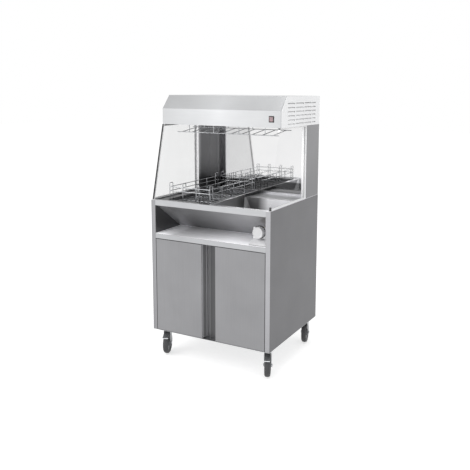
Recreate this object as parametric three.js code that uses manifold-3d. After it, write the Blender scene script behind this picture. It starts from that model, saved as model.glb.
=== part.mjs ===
// French fry dump station: a cabinet on casters with a fry basin, a carton rack and a heated hood.
// Millimetres. X runs to the right, Y runs to the back, Z runs up from the floor.
import * as THREE from "three";
import { mergeVertices } from "three/addons/utils/BufferGeometryUtils.js";
import Module from "manifold-3d";

const wasm = await Module();
wasm.setup();

// Overall sizes.
const cabinetWidth = 750;
const cabinetDepth = 630;
const baseHeight = 158;
const deckHeight = 914;
const rimRise = 4;
const servingHeight = 421;
const hoodHeight = 163;

// Sheet metal and the clearance left between neighbouring pieces.
const sheet = 1.5;
const seam = 0.3;

// Cabinet front: stiles, rails and the storage slot between the rails.
const stileWidth = 26.3;
const stileLip = 12;
const rearReturn = 30;
const rimWidth = 14;
const topRailHeight = 31.5;
const topRailReturn = 15;
const slotDrop = 188;
const midRailHeight = 27.6;
const midRailReturn = 20;
const panEdge = 22;
const glandSideInset = 90;
const glandRise = 60;
const glandRadius = 13;
const glandCapRadius = 10;
const glandBoreRadius = 5;
const glandLength = 18;
const glandNutLength = 8;
const glandBoreDepth = 16;

// Storage slot liner with its sloping back, and the control bracket in it.
const shelfDepth = 240;
const slopeTopInset = 16.5;
const slopeTopDrop = 2.5;
const bracketSideInset = 30;
const bracketWidth = 100;
const bracketFootInset = 4;
const bracketBendRise = 30;
const bracketRise = 120;
const bracketLip = 6;
const bracketFaceInset = 60;
const knobSideInset = 90;
const knobRise = 65;
const knobRadius = 32;
const knobLength = 27;
const knobFluteDepth = 2;
const knobTaper = 1.5;
const knobFluteCount = 16;
const bezelRadius = 34.5;
const bezelThickness = 3;
const bezelStep = 1;
const shaftRadius = 3;
const shaftHoleRadius = 5;
const shaftEngagement = 14;
const thermostatSize = 44;
const thermostatDepth = 34;

// Doors, their pull edges and pins.
const doorGap = 2.2;
const recessWidth = 88;
const doorReturn = 22;
const pullDepth = 40;
const pullInset = 12;
const pullLip = 18;
const pinInset = 5;
const pinRadius = 2.5;
const pinHeadRadius = 3.2;
const pinHead = 1.4;
const pinReach = 9;
const postWidth = 80;
const postInset = 48;
const postDepth = 24;
const innerShelfRise = 262;
const innerShelfInset = 78;
const innerShelfLip = 20;

// Openings in the worktop, the rack well and the recessed ledge behind the basin.
const wellSideInset = 70;
const dividerWidth = 20;
const wellFront = 60;
const wellBackInset = 30;
const wellDrop = 25;
const wellFlange = 8;
const ledgeBackInset = 30;
const ledgeDrop = 14;

// Dump basin: top outline, floor outline and flange.
const basinSideInset = 22;
const basinWidthShare = 0.4747;
const basinFront = 35;
const basinBackInset = 215;
const basinDepth = 167;
const basinSideSlope = 35;
const basinFrontSlope = 200;
const basinRearSlope = 27;
const basinTopChamfer = 2;
const basinFloorChamfer = 62;
const basinFlange = 7.5;
const scoopMargin = 4;
const scoopLift = 8;
const scoopSlotWidth = 5;
const scoopSlotPitch = 20;
const scoopSlotLength = 60;
const scoopSlotGap = 24;
const scoopSlotCount = 9;
const scoopFootLength = 120;
const heaterSideMargin = 28;
const heaterEndMargin = 12;
const heaterThickness = 7;
const hangerGap = 9;
const hangerWidth = 44;

// Carton rack of welded wire.
const rackWire = 2.2;
const rackSideGap = 8;
const rackEndGap = 10;
const rackLaneCount = 3;
const rackLowRail = 49;
const rackHighRail = 72;
const rackHoop = 94;
const rackHoopDepth = 30;
const rackBayCount = 4;
const rackFloorWireCount = 2;
const rackFloorGap = 2.1;

// Side glasses in their edge trims.
const glassThickness = 5;
const glassInset = 8;
const glassBottomFront = 8;
const glassTopFront = 112;
const trimWidth = 9;
const trimRim = 3;
const trimCover = 4;
const trimEndHeight = 18;
const trimEndLength = 30;

// Wings, mirror panel and rear cover.
const wingDepth = 185;
const wingFlange = 27.6;
const wingLip = 12;
const mirrorBackInset = 17;

// Hood.
const hoodFront = 119;
const fasciaHeight = 88;
const slopeDepth = 65;
const hoodLip = 25;
const hoodRearDrop = 30;
const louvreFrontInset = 10;
const louvreBackInset = 62;
const louvreColumnShares = [
  [0, 0.238],
  [0.273, 0.551],
  [0.578, 0.837],
  [0.864, 1],
];
const louvreRowCount = 6;
const louvreTopDrop = 35;
const louvrePitch = 21.8;
const louvreOpening = 9;
const louvreReach = 4.5;
const louvreSlit = 1.6;
const reflectorFlangeInset = 4;
const reflectorLipWidth = 33;
const reflectorFrontSlope = 38;
const reflectorCrownDrop = 58;
const reflectorBackSlope = 40;
const reflectorBackInset = 30;
const reflectorBackRise = 8;
const lampFrontInset = 161;
const lampBackInset = 180;
const lampDrop = 32;
const lampRadius = 6;
const lampSideInset = 53;
const lampBlock = 22;
const lampBlockDrop = 12;

// Wire guard under the hood.
const guardWire = 2.2;
const guardLeftInset = 60;
const guardRightInset = 45;
const guardFrontInset = 61;
const guardDepth = 160;
const guardFrontDrop = 45;
const guardBackDrop = 25;
const guardCrossWireCount = 10;
const guardHangerCount = 4;
const guardHook = 10;
const guardFrontHangRise = 68;

// Rocker switch on the fascia.
const switchSideInset = 58.5;
const switchRise = 45;
const switchWidth = 28;
const switchTall = 33;
const switchProud = 3;
const switchRimWidth = 3;
const switchBodyDepth = 24;
const switchBodyInset = 2;
const rockerGap = 0.9;
const rockerPivotDepth = 5;
const rockerCrown = 3;
const rockerRise = 2;
const rockerBack = 6;
const rockerTilt = 6;

// Casters.
const frontSwivelInset = 79;
const rearSwivelInset = 59;
const swivelSideInset = 46;
const frontHeading = 22;
const rearHeading = 14;
const trail = 21;
const wheelRadius = 62.5;
const wheelWidth = 32;
const treadCrown = 3;
const hubRadius = 20;
const webDepth = 7;
const rimInnerRadius = 47;
const boreRadius = 6.5;
const mountPlate = 72;
const mountPlateThickness = 3;
const raceRadius = 19;
const raceHeight = 8;
const headThickness = 6;
const headRadius = 19;
const headBackShare = 0.85;
const legGap = 1.6;
const legThickness = 2.5;
const legReach = 32;
const legDrop = 17;
const axleBossRadius = 11;
const axleRadius = 6;
const nutRadius = 9;
const nutThickness = 5;
const pedalPivotForward = 27;
const pedalPivotHeight = 133.5;
const pedalBarrelRadius = 3;
const pedalTipForward = 79;
const pedalTipHeight = 111;
const pedalThickness = 2.5;
const pedalWidth = 32;
const pedalTipLip = 5;

// Segment counts of round pieces.
const wheelSegments = 24;
const roundSegments = 16;
const wireSides = 5;
const nutSides = 6;

// Places that follow from the sizes above.
const halfWidth = cabinetWidth / 2;
const rimHeight = deckHeight + rimRise;
const midRailTop = deckHeight - slotDrop;
const hoodBottom = deckHeight + servingHeight;
const hoodTop = hoodBottom + hoodHeight;
const wheelReach = (heading) =>
  (trail + wheelRadius) * Math.cos(heading) + (wheelWidth / 2) * Math.sin(heading);
const degrees = Math.PI / 180;
const reachAhead = frontSwivelInset - wheelReach(frontHeading * degrees);
const reachBehind = cabinetDepth - rearSwivelInset + wheelReach(rearHeading * degrees);
const middle = (reachAhead + reachBehind) / 2;
const fromFront = (distance) => distance - middle;
const stileInner = halfWidth - stileWidth;
const sideDepth = cabinetDepth - sheet - seam;
const sideBottom = baseHeight + sheet + seam;
const floorTop = midRailTop + seam + sheet;
const deckUnder = deckHeight - sheet;
const ledgeHeight = deckHeight - ledgeDrop;
const wellFloor = deckHeight - wellDrop;
const basinRight = halfWidth - basinSideInset;
const basinLeft = basinRight - cabinetWidth * basinWidthShare;
const basinBack = cabinetDepth - basinBackInset;
const wellLeft = wellSideInset - halfWidth;
const wellRight = basinLeft - dividerWidth;
const wellBack = cabinetDepth - wellBackInset;
const ledgeBack = cabinetDepth - ledgeBackInset;
const wingFront = cabinetDepth - wingDepth;

// Helpers for building solids.
function toSolid(geometry) {
  const bare = geometry.clone();
  bare.deleteAttribute("normal");
  bare.deleteAttribute("uv");
  const merged = mergeVertices(bare, 1e-4);
  return new wasm.Manifold(
    new wasm.Mesh({
      numProp: 3,
      vertProperties: new Float32Array(merged.attributes.position.array),
      triVerts: new Uint32Array(merged.index.array),
    }),
  );
}

function fromSolid(solid) {
  const mesh = solid.getMesh();
  const geometry = new THREE.BufferGeometry();
  const positions = new Float32Array(mesh.numVert * 3);
  for (let i = 0; i < mesh.numVert; i++) {
    positions.set(mesh.vertProperties.subarray(i * mesh.numProp, i * mesh.numProp + 3), i * 3);
  }
  geometry.setAttribute("position", new THREE.BufferAttribute(positions, 3));
  geometry.setIndex(new THREE.BufferAttribute(new Uint32Array(mesh.triVerts), 1));
  return geometry;
}

function join(...geometries) {
  return fromSolid(geometries.map(toSolid).reduce((a, b) => a.add(b)));
}

function cut(body, ...tools) {
  return fromSolid(tools.map(toSolid).reduce((a, b) => a.subtract(b), toSolid(body)));
}

function box(x0, x1, y0, y1, z0, z1) {
  const geometry = new THREE.BoxGeometry(x1 - x0, y1 - y0, z1 - z0);
  return geometry.translate((x0 + x1) / 2, (y0 + y1) / 2, (z0 + z1) / 2);
}

function extruded(points, length) {
  const shape = new THREE.Shape(points.map(([u, v]) => new THREE.Vector2(u, v)));
  return new THREE.ExtrudeGeometry(shape, { depth: length, bevelEnabled: false });
}

// A prism whose outline is drawn in the plane across the named axis.
function prismX(points, x0, x1) {
  const turn = new THREE.Matrix4().makeBasis(
    new THREE.Vector3(0, 1, 0),
    new THREE.Vector3(0, 0, 1),
    new THREE.Vector3(1, 0, 0),
  );
  return extruded(points, x1 - x0).applyMatrix4(turn).translate(x0, 0, 0);
}

function prismY(points, y0, y1) {
  return extruded(points, y1 - y0).rotateX(Math.PI / 2).translate(0, y1, 0);
}

function prismZ(points, z0, z1) {
  return extruded(points, z1 - z0).translate(0, 0, z0);
}

// The outline of a bent sheet: the path is its outer face, the sheet lies on the left of it.
function bent(path, thickness) {
  const points = path.map(([u, v]) => new THREE.Vector2(u, v));
  const normals = points.slice(1).map((p, i) => {
    const along = p.clone().sub(points[i]).normalize();
    return new THREE.Vector2(-along.y, along.x);
  });
  const inner = points.map((p, i) => {
    const before = normals[Math.max(i - 1, 0)];
    const after = normals[Math.min(i, normals.length - 1)];
    const mitre = before.clone().add(after);
    const share = 2 / mitre.lengthSq();
    return p.clone().addScaledVector(mitre, thickness * share);
  });
  return [...points, ...inner.reverse()].map((p) => [p.x, p.y]);
}

function turned(profile, segments) {
  return new THREE.LatheGeometry(
    profile.map(([r, h]) => new THREE.Vector2(r, h)),
    segments,
  ).rotateX(Math.PI / 2);
}

// A round bar between two points, given as [x, y, z].
function bar(from, to, radius, sides) {
  const start = new THREE.Vector3(...from);
  const end = new THREE.Vector3(...to);
  const along = end.clone().sub(start);
  const geometry = new THREE.CylinderGeometry(radius, radius, along.length(), sides);
  const turn = new THREE.Quaternion().setFromUnitVectors(
    new THREE.Vector3(0, 1, 0),
    along.clone().normalize(),
  );
  const place = start.add(end).multiplyScalar(1 / 2);
  return geometry.applyQuaternion(turn).translate(place.x, place.y, place.z);
}

// A wire bent through a list of points, its bends filled by overlapping ends.
function wire(points, radius) {
  const reach = radius / 2;
  return points.slice(1).map((p, i) => {
    const start = new THREE.Vector3(...points[i]);
    const end = new THREE.Vector3(...p);
    const along = end.clone().sub(start).normalize();
    const first = i === 0 ? 0 : reach;
    const last = i === points.length - 2 ? 0 : reach;
    const a = start.addScaledVector(along, -first);
    const b = end.addScaledVector(along, last);
    return bar(a.toArray(), b.toArray(), radius, wireSides);
  });
}

// A convex solid through rings of points, each ring counterclockwise from above, lowest first.
function lofted(rings) {
  const count = rings[0].length;
  const positions = rings.flat(2);
  const indices = [];
  for (let ring = 0; ring < rings.length - 1; ring++) {
    for (let i = 0; i < count; i++) {
      const a = ring * count + i;
      const b = ring * count + ((i + 1) % count);
      indices.push(a, b, b + count, a, b + count, a + count);
    }
  }
  const top = (rings.length - 1) * count;
  for (let i = 1; i < count - 1; i++) {
    indices.push(0, i + 1, i);
    indices.push(top, top + i, top + i + 1);
  }
  const geometry = new THREE.BufferGeometry();
  geometry.setAttribute("position", new THREE.Float32BufferAttribute(positions, 3));
  geometry.setIndex(indices);
  return geometry;
}

// A rectangle with cut corners as a ring at one height.
function cutRectangle(x0, x1, y0, y1, corner, z) {
  return [
    [x0 + corner, y0, z],
    [x1 - corner, y0, z],
    [x1, y0 + corner, z],
    [x1, y1 - corner, z],
    [x1 - corner, y1, z],
    [x0 + corner, y1, z],
    [x0, y1 - corner, z],
    [x0, y0 + corner, z],
  ];
}

function mirrored(geometry) {
  const copy = geometry.clone().scale(-1, 1, 1);
  if (!copy.index) {
    copy.setIndex([...Array(copy.attributes.position.count).keys()]);
  }
  const order = copy.index.array;
  for (let i = 0; i < order.length; i += 3) {
    [order[i + 1], order[i + 2]] = [order[i + 2], order[i + 1]];
  }
  return copy;
}

const group = new THREE.Group();
group.name = "french_fry_dump_station";

function addNode(name, geometry, colour, metalness, roughness) {
  const material = new THREE.MeshStandardMaterial({ color: colour, metalness, roughness });
  const mesh = new THREE.Mesh(geometry, material);
  mesh.name = name;
  group.add(mesh);
  return mesh;
}

const addSteel = (name, geometry) => addNode(name, geometry, 0xc4c6c8, 0.9, 0.35);
const addPolished = (name, geometry) => addNode(name, geometry, 0xe4e6e8, 1, 0.05);
const addZinc = (name, geometry) => addNode(name, geometry, 0xb0b3b5, 0.9, 0.4);
const addRubber = (name, geometry) => addNode(name, geometry, 0x3a3a3c, 0, 0.8);
const addPlastic = (name, geometry, colour) => addNode(name, geometry, colour, 0, 0.4);
const addGlass = (name, geometry) => addNode(name, geometry, 0xd8e6e4, 0, 0.05);

// Side panels: a sheet with a front stile, a rear return and a top rim with a small drop edge.
const sidePlan = bent(
  [
    [stileInner, fromFront(stileLip)],
    [stileInner, fromFront(0)],
    [halfWidth, fromFront(0)],
    [halfWidth, fromFront(sideDepth)],
    [halfWidth - rearReturn, fromFront(sideDepth)],
  ],
  sheet,
);
const rimInner = halfWidth - rimWidth;
const rightSide = join(
  prismZ(sidePlan, sideBottom, rimHeight),
  box(rimInner, halfWidth, fromFront(0), fromFront(sideDepth), rimHeight - sheet, rimHeight),
  box(stileInner, halfWidth, fromFront(0), fromFront(stileLip), rimHeight - sheet, rimHeight),
  box(
    rimInner,
    rimInner + sheet,
    fromFront(stileLip + seam),
    fromFront(sideDepth),
    deckHeight + seam,
    rimHeight,
  ),
);
addSteel("right_side_panel", rightSide);
addSteel("left_side_panel", mirrored(rightSide));

// Back sheet between the rims, outside the rear returns, with the cable gland low on it.
const glandProfile = [
  [0, -sheet / 2],
  [glandRadius, -sheet / 2],
  [glandRadius, glandNutLength],
  [glandCapRadius, glandNutLength],
  [glandCapRadius, glandLength],
  [glandBoreRadius, glandLength],
  [glandBoreRadius, glandLength - glandBoreDepth],
  [0, glandLength - glandBoreDepth],
];
addSteel(
  "cabinet_back",
  join(
    box(
      -halfWidth,
      halfWidth,
      fromFront(cabinetDepth - sheet),
      fromFront(cabinetDepth),
      sideBottom,
      rimHeight,
    ),
    turned(glandProfile, roundSegments)
      .rotateX(-Math.PI / 2)
      .translate(halfWidth - glandSideInset, fromFront(cabinetDepth), baseHeight + glandRise),
  ),
);

// Bottom pan with upturned side and rear edges inside the side panels.
const panHalf = halfWidth - sheet - seam;
const panRear = cabinetDepth - sheet - seam - sheet - seam;
const panEdgeFront = fromFront(doorReturn + doorGap);
const panEdgeFoot = baseHeight + sheet / 2;
const panEdgeTop = baseHeight + panEdge;
addSteel(
  "cabinet_bottom",
  join(
    box(
      -halfWidth,
      halfWidth,
      fromFront(0),
      fromFront(cabinetDepth),
      baseHeight,
      baseHeight + sheet,
    ),
    box(-panHalf, -panHalf + sheet, panEdgeFront, fromFront(panRear), panEdgeFoot, panEdgeTop),
    box(panHalf - sheet, panHalf, panEdgeFront, fromFront(panRear), panEdgeFoot, panEdgeTop),
    box(
      -panHalf + sheet / 2,
      panHalf - sheet / 2,
      fromFront(panRear - sheet - seam),
      fromFront(panRear - seam),
      panEdgeFoot,
      panEdgeTop - seam,
    ),
  ),
);

// Front rails between the stiles.
const railHalf = stileInner - seam;
const topRailPath = [
  [fromFront(rimWidth), deckHeight + seam],
  [fromFront(rimWidth), rimHeight],
  [fromFront(0), rimHeight],
  [fromFront(0), rimHeight - topRailHeight],
  [fromFront(topRailReturn), rimHeight - topRailHeight],
];
addSteel("front_top_rail", prismX(bent(topRailPath, sheet), -railHalf, railHalf));

const midRailBottom = midRailTop - midRailHeight;
const midRailPath = [
  [fromFront(midRailReturn), midRailTop],
  [fromFront(0), midRailTop],
  [fromFront(0), midRailBottom],
  [fromFront(midRailReturn), midRailBottom],
];
const pinX = stileInner - doorGap - pinInset;
const pinY = fromFront(pinInset);
const pinHole = (z0, z1) =>
  turned(
    [
      [0, z0],
      [pinRadius + seam, z0],
      [pinRadius + seam, z1],
      [0, z1],
    ],
    roundSegments,
  );
const midRailHole = pinHole(midRailBottom - sheet, midRailBottom + sheet + sheet);
addSteel(
  "mid_rail",
  cut(
    prismX(bent(midRailPath, sheet), -railHalf, railHalf),
    midRailHole.clone().translate(pinX, pinY, 0),
    midRailHole.clone().translate(-pinX, pinY, 0),
  ),
);

// Slot liner: floor on the mid rail, a back that slopes up to the top rail, and two ends.
const slopeTop = rimHeight - topRailHeight - slopeTopDrop;
const shelfPath = [
  [fromFront(slopeTopInset), slopeTop],
  [fromFront(shelfDepth), floorTop],
  [fromFront(seam), floorTop],
];
const shelfEnd = [
  [fromFront(seam), floorTop],
  [fromFront(shelfDepth), floorTop],
  [fromFront(slopeTopInset), slopeTop],
  [fromFront(seam), slopeTop],
];
addSteel(
  "storage_shelf",
  join(
    prismX(bent(shelfPath, sheet), -railHalf, railHalf),
    prismX(shelfEnd, railHalf - sheet, railHalf),
    prismX(shelfEnd, -railHalf, -railHalf + sheet),
  ),
);

// Control bracket with the thermostat, its bezel and the knob.
const bracketRight = halfWidth - bracketSideInset;
const bracketLeft = bracketRight - bracketWidth;
const bracketTop = midRailTop + bracketRise;
const bracketBend = midRailTop + bracketBendRise;
const knobX = halfWidth - knobSideInset;
const knobHeight = midRailTop + knobRise;
const bracketPath = [
  [fromFront(bracketFaceInset + bracketLip + sheet), bracketTop],
  [fromFront(bracketFaceInset), bracketTop],
  [fromFront(bracketFaceInset), bracketBend],
  [fromFront(bracketFootInset), floorTop + seam + sheet],
];
const shaftHole = bar(
  [knobX, fromFront(bracketFaceInset - sheet), knobHeight],
  [knobX, fromFront(bracketFaceInset + sheet + sheet), knobHeight],
  shaftHoleRadius,
  roundSegments,
);
addSteel(
  "control_bracket",
  cut(prismX(bent(bracketPath, sheet), bracketLeft, bracketRight), shaftHole),
);

const bodyFront = fromFront(bracketFaceInset + sheet + seam);
const knobBack = fromFront(bracketFaceInset - seam - bezelThickness - seam);
const shaftFront = knobBack - shaftEngagement;
addPlastic(
  "thermostat_body",
  join(
    box(
      knobX - thermostatSize / 2,
      knobX + thermostatSize / 2,
      bodyFront,
      bodyFront + thermostatDepth,
      knobHeight - thermostatSize / 2,
      knobHeight + thermostatSize / 2,
    ),
    bar(
      [knobX, bodyFront + sheet, knobHeight],
      [knobX, shaftFront, knobHeight],
      shaftRadius,
      roundSegments,
    ),
  ),
  0xe8e4da,
);

const bezelProfile = [
  [shaftHoleRadius, 0],
  [bezelRadius, 0],
  [bezelRadius, bezelThickness - bezelStep],
  [bezelRadius - bezelStep, bezelThickness],
  [shaftHoleRadius, bezelThickness],
  [shaftHoleRadius, 0],
];
addPlastic(
  "thermostat_bezel",
  turned(bezelProfile, wheelSegments)
    .rotateX(Math.PI / 2)
    .translate(knobX, fromFront(bracketFaceInset - seam), knobHeight),
  0x1c1c1e,
);

function flutedRing(radius, depth, z) {
  const ring = [];
  for (let i = 0; i < knobFluteCount; i++) {
    const angle = (2 * Math.PI * i) / knobFluteCount;
    const next = angle + Math.PI / knobFluteCount;
    ring.push([radius * Math.cos(angle), radius * Math.sin(angle), z]);
    ring.push([(radius - depth) * Math.cos(next), (radius - depth) * Math.sin(next), z]);
  }
  return ring;
}
const knobBlank = lofted([
  flutedRing(knobRadius, knobFluteDepth, 0),
  flutedRing(knobRadius - knobTaper, knobFluteDepth, knobLength - knobTaper),
  flutedRing(knobRadius - knobTaper - knobTaper, knobFluteDepth, knobLength),
]);
const knobBore = turned(
  [
    [0, -seam],
    [shaftRadius + seam, -seam],
    [shaftRadius + seam, shaftEngagement + seam],
    [0, shaftEngagement + seam],
  ],
  roundSegments,
);
addPlastic(
  "thermostat_knob",
  cut(knobBlank, knobBore)
    .rotateX(Math.PI / 2)
    .translate(knobX, knobBack, knobHeight),
  0xf2f2ee,
);

// Doors: folded pans whose pull edge slants back behind the recess and ends in a lip.
const doorTop = midRailBottom - doorGap;
const doorBottom = baseHeight + sheet + doorGap;
const doorOuter = stileInner - doorGap;
const pullEdge = recessWidth / 2;
const doorPath = [
  [pullEdge - pullInset + pullLip, fromFront(pullDepth)],
  [pullEdge - pullInset, fromFront(pullDepth)],
  [pullEdge, fromFront(0)],
  [doorOuter, fromFront(0)],
  [doorOuter, fromFront(doorReturn)],
];
const doorLid = [
  [pullEdge, fromFront(0)],
  [doorOuter, fromFront(0)],
  [doorOuter, fromFront(doorReturn)],
  [pullEdge, fromFront(doorReturn)],
];
const doorHole = pinHole(doorBottom - sheet, doorTop + sheet).translate(pinX, pinY, 0);
const doorLids = join(
  prismZ(doorLid, doorTop - sheet, doorTop),
  prismZ(bent(doorPath, sheet), doorBottom, doorTop),
  prismZ(doorLid, doorBottom, doorBottom + sheet),
);
const rightDoor = cut(doorLids, doorHole);
addSteel("right_door", rightDoor);
addSteel("left_door", mirrored(rightDoor));

// Hinge pins: the upper ones hang in the mid rail, the lower ones stand on the bottom pan.
const upperPin = turned(
  [
    [0, doorTop - pinReach],
    [pinRadius, doorTop - pinReach],
    [pinRadius, midRailBottom + sheet + seam],
    [pinHeadRadius, midRailBottom + sheet + seam],
    [pinHeadRadius, midRailBottom + sheet + seam + pinHead],
    [0, midRailBottom + sheet + seam + pinHead],
  ],
  roundSegments,
);
const lowerPin = turned(
  [
    [0, sideBottom],
    [pinHeadRadius, sideBottom],
    [pinHeadRadius, sideBottom + pinHead],
    [pinRadius, sideBottom + pinHead],
    [pinRadius, doorBottom + pinReach],
    [0, doorBottom + pinReach],
  ],
  roundSegments,
);
addZinc("right_top_hinge_pin", upperPin.clone().translate(pinX, pinY, 0));
addZinc("left_top_hinge_pin", upperPin.clone().translate(-pinX, pinY, 0));
addZinc("right_bottom_hinge_pin", lowerPin.clone().translate(pinX, pinY, 0));
addZinc("left_bottom_hinge_pin", lowerPin.clone().translate(-pinX, pinY, 0));

// Centre post behind the pull edges, a channel open to the back.
const postPath = [
  [-postWidth / 2, fromFront(postInset + postDepth)],
  [-postWidth / 2, fromFront(postInset)],
  [postWidth / 2, fromFront(postInset)],
  [postWidth / 2, fromFront(postInset + postDepth)],
];
addSteel(
  "centre_post",
  prismZ(bent(postPath, sheet), sideBottom, floorTop - sheet - seam),
);

// Inner shelf with a drop edge at the front and the back.
const shelfRear = sideDepth - sheet - seam;
const innerShelfHeight = baseHeight + innerShelfRise;
const innerShelfPath = [
  [fromFront(shelfRear), innerShelfHeight - innerShelfLip],
  [fromFront(shelfRear), innerShelfHeight],
  [fromFront(innerShelfInset), innerShelfHeight],
  [fromFront(innerShelfInset), innerShelfHeight - innerShelfLip],
];
addSteel("inner_shelf", prismX(bent(innerShelfPath, sheet), -panHalf, panHalf));

// Worktop with the well opening, the basin opening and the recessed ledge behind it.
const worktopBlank = box(
  -panHalf,
  panHalf,
  fromFront(stileLip + seam),
  fromFront(shelfRear),
  deckUnder,
  deckHeight,
);
const openingLeft = basinLeft - sheet - seam;
const openingRight = basinRight + sheet + seam;
const openingFront = basinFront - sheet - seam;
const ledgeFront = basinBack + sheet + seam;
const worktopPierced = cut(
  worktopBlank,
  box(
    wellLeft,
    wellRight,
    fromFront(wellFront),
    fromFront(wellBack),
    deckUnder - sheet,
    deckHeight + sheet,
  ),
  box(
    openingLeft,
    openingRight,
    fromFront(openingFront),
    fromFront(ledgeBack),
    deckUnder - sheet,
    deckHeight + sheet,
  ),
);
const ledgeTray = cut(
  box(
    openingLeft - sheet,
    openingRight + sheet,
    fromFront(ledgeFront),
    fromFront(ledgeBack + sheet),
    ledgeHeight - sheet,
    deckHeight,
  ),
  box(
    openingLeft,
    openingRight,
    fromFront(ledgeFront - sheet),
    fromFront(ledgeBack),
    ledgeHeight,
    deckHeight + sheet,
  ),
);
addSteel("worktop", join(worktopPierced, ledgeTray));

// Rack well: a shallow pan hung under the worktop by its flange.
const wellBody = join(
  box(
    wellLeft - sheet,
    wellRight + sheet,
    fromFront(wellFront - sheet),
    fromFront(wellBack + sheet),
    wellFloor - sheet,
    deckUnder - seam,
  ),
  box(
    wellLeft - sheet - wellFlange,
    wellRight + sheet + wellFlange,
    fromFront(wellFront - sheet - wellFlange),
    fromFront(wellBack + sheet + wellFlange),
    deckUnder - seam - sheet,
    deckUnder - seam,
  ),
);
addSteel(
  "rack_well",
  cut(
    wellBody,
    box(
      wellLeft,
      wellRight,
      fromFront(wellFront),
      fromFront(wellBack),
      wellFloor,
      deckHeight,
    ),
  ),
);

// Dump basin: a hopper with corners that widen downwards, under a flange on the worktop.
const basinFloor = deckHeight - basinDepth;
const basinFloorLeft = basinLeft + basinSideSlope;
const basinFloorRight = basinRight - basinSideSlope;
const basinFloorFront = basinFront + basinFrontSlope;
const basinFloorBack = basinBack - basinRearSlope;
const flangeUnder = deckHeight + seam;
const flangeTop = flangeUnder + sheet;
const rearFlangeTop = ledgeHeight + seam + sheet;
const hopperRings = (grow, drop, rise) => [
  cutRectangle(
    basinFloorLeft - grow,
    basinFloorRight + grow,
    fromFront(basinFloorFront - grow),
    fromFront(basinFloorBack + grow),
    basinFloorChamfer,
    basinFloor - drop,
  ),
  cutRectangle(
    basinLeft - grow,
    basinRight + grow,
    fromFront(basinFront - grow),
    fromFront(basinBack + grow),
    basinTopChamfer,
    deckHeight + rise,
  ),
];
const basinOuter = join(
  lofted(hopperRings(sheet, sheet, seam + sheet)),
  box(
    basinLeft - basinFlange,
    basinRight + basinFlange,
    fromFront(basinFront - basinFlange),
    fromFront(basinBack + sheet),
    flangeUnder,
    flangeTop,
  ),
  box(
    basinLeft,
    basinRight,
    fromFront(basinBack - basinFlange),
    fromFront(basinBack + sheet + basinFlange),
    ledgeHeight + seam,
    rearFlangeTop,
  ),
);
addSteel(
  "dump_basin",
  cut(
    basinOuter,
    lofted(hopperRings(0, 0, seam + sheet + seam)),
    box(
      basinLeft,
      basinRight,
      fromFront(basinBack - basinFlange),
      fromFront(basinBack + sheet + basinFlange),
      rearFlangeTop,
      flangeTop + sheet,
    ),
  ),
);

// Slotted scoop plate lying on the basin floor on two turned-down feet.
const scoopTop = basinFloor + scoopLift;
const scoopRing = (z) =>
  cutRectangle(
    basinFloorLeft + scoopMargin,
    basinFloorRight - scoopMargin,
    fromFront(basinFloorFront + scoopMargin),
    fromFront(basinFloorBack - scoopMargin),
    basinFloorChamfer,
    z,
  );
const scoopMiddleX = (basinFloorLeft + basinFloorRight) / 2;
const scoopMiddleY = fromFront((basinFloorFront + basinFloorBack) / 2);
const scoopFoot = (y0, y1) =>
  box(
    scoopMiddleX - scoopFootLength / 2,
    scoopMiddleX + scoopFootLength / 2,
    y0,
    y1,
    basinFloor + seam,
    scoopTop,
  );
const scoopSlots = [];
for (let i = 0; i < scoopSlotCount; i++) {
  const slotX = scoopMiddleX + (i - (scoopSlotCount - 1) / 2) * scoopSlotPitch;
  for (const side of [-1, 1]) {
    const near = scoopSlotGap / 2;
    const far = scoopSlotGap / 2 + scoopSlotLength;
    const reach = [side * near, side * far].sort((a, b) => a - b);
    scoopSlots.push(
      box(
        slotX - scoopSlotWidth / 2,
        slotX + scoopSlotWidth / 2,
        scoopMiddleY + reach[0],
        scoopMiddleY + reach[1],
        scoopTop - sheet - sheet,
        scoopTop + sheet,
      ),
    );
  }
}
addSteel(
  "scoop_plate",
  cut(
    join(
      lofted([scoopRing(scoopTop - sheet), scoopRing(scoopTop)]),
      scoopFoot(
        fromFront(basinFloorFront + scoopMargin),
        fromFront(basinFloorFront + scoopMargin + sheet),
      ),
      scoopFoot(
        fromFront(basinFloorBack - scoopMargin - sheet),
        fromFront(basinFloorBack - scoopMargin),
      ),
    ),
    ...scoopSlots,
  ),
);

// Heater plate on a strap that hangs from the worktop on both sides of the basin.
const heaterTop = basinFloor - sheet - seam;
const strapTop = heaterTop - heaterThickness;
const strapPath = [
  [basinLeft - hangerGap, deckUnder - seam],
  [basinLeft - hangerGap, strapTop - sheet],
  [basinRight + hangerGap, strapTop - sheet],
  [basinRight + hangerGap, deckUnder - seam],
];
addSteel(
  "heater_plate",
  join(
    prismY(
      bent(strapPath, sheet),
      scoopMiddleY - hangerWidth / 2,
      scoopMiddleY + hangerWidth / 2,
    ),
    box(
      basinFloorLeft + heaterSideMargin,
      basinFloorRight - heaterSideMargin,
      fromFront(basinFloorFront + heaterEndMargin),
      fromFront(basinFloorBack - heaterEndMargin),
      strapTop - sheet,
      heaterTop,
    ),
  ),
);

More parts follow.
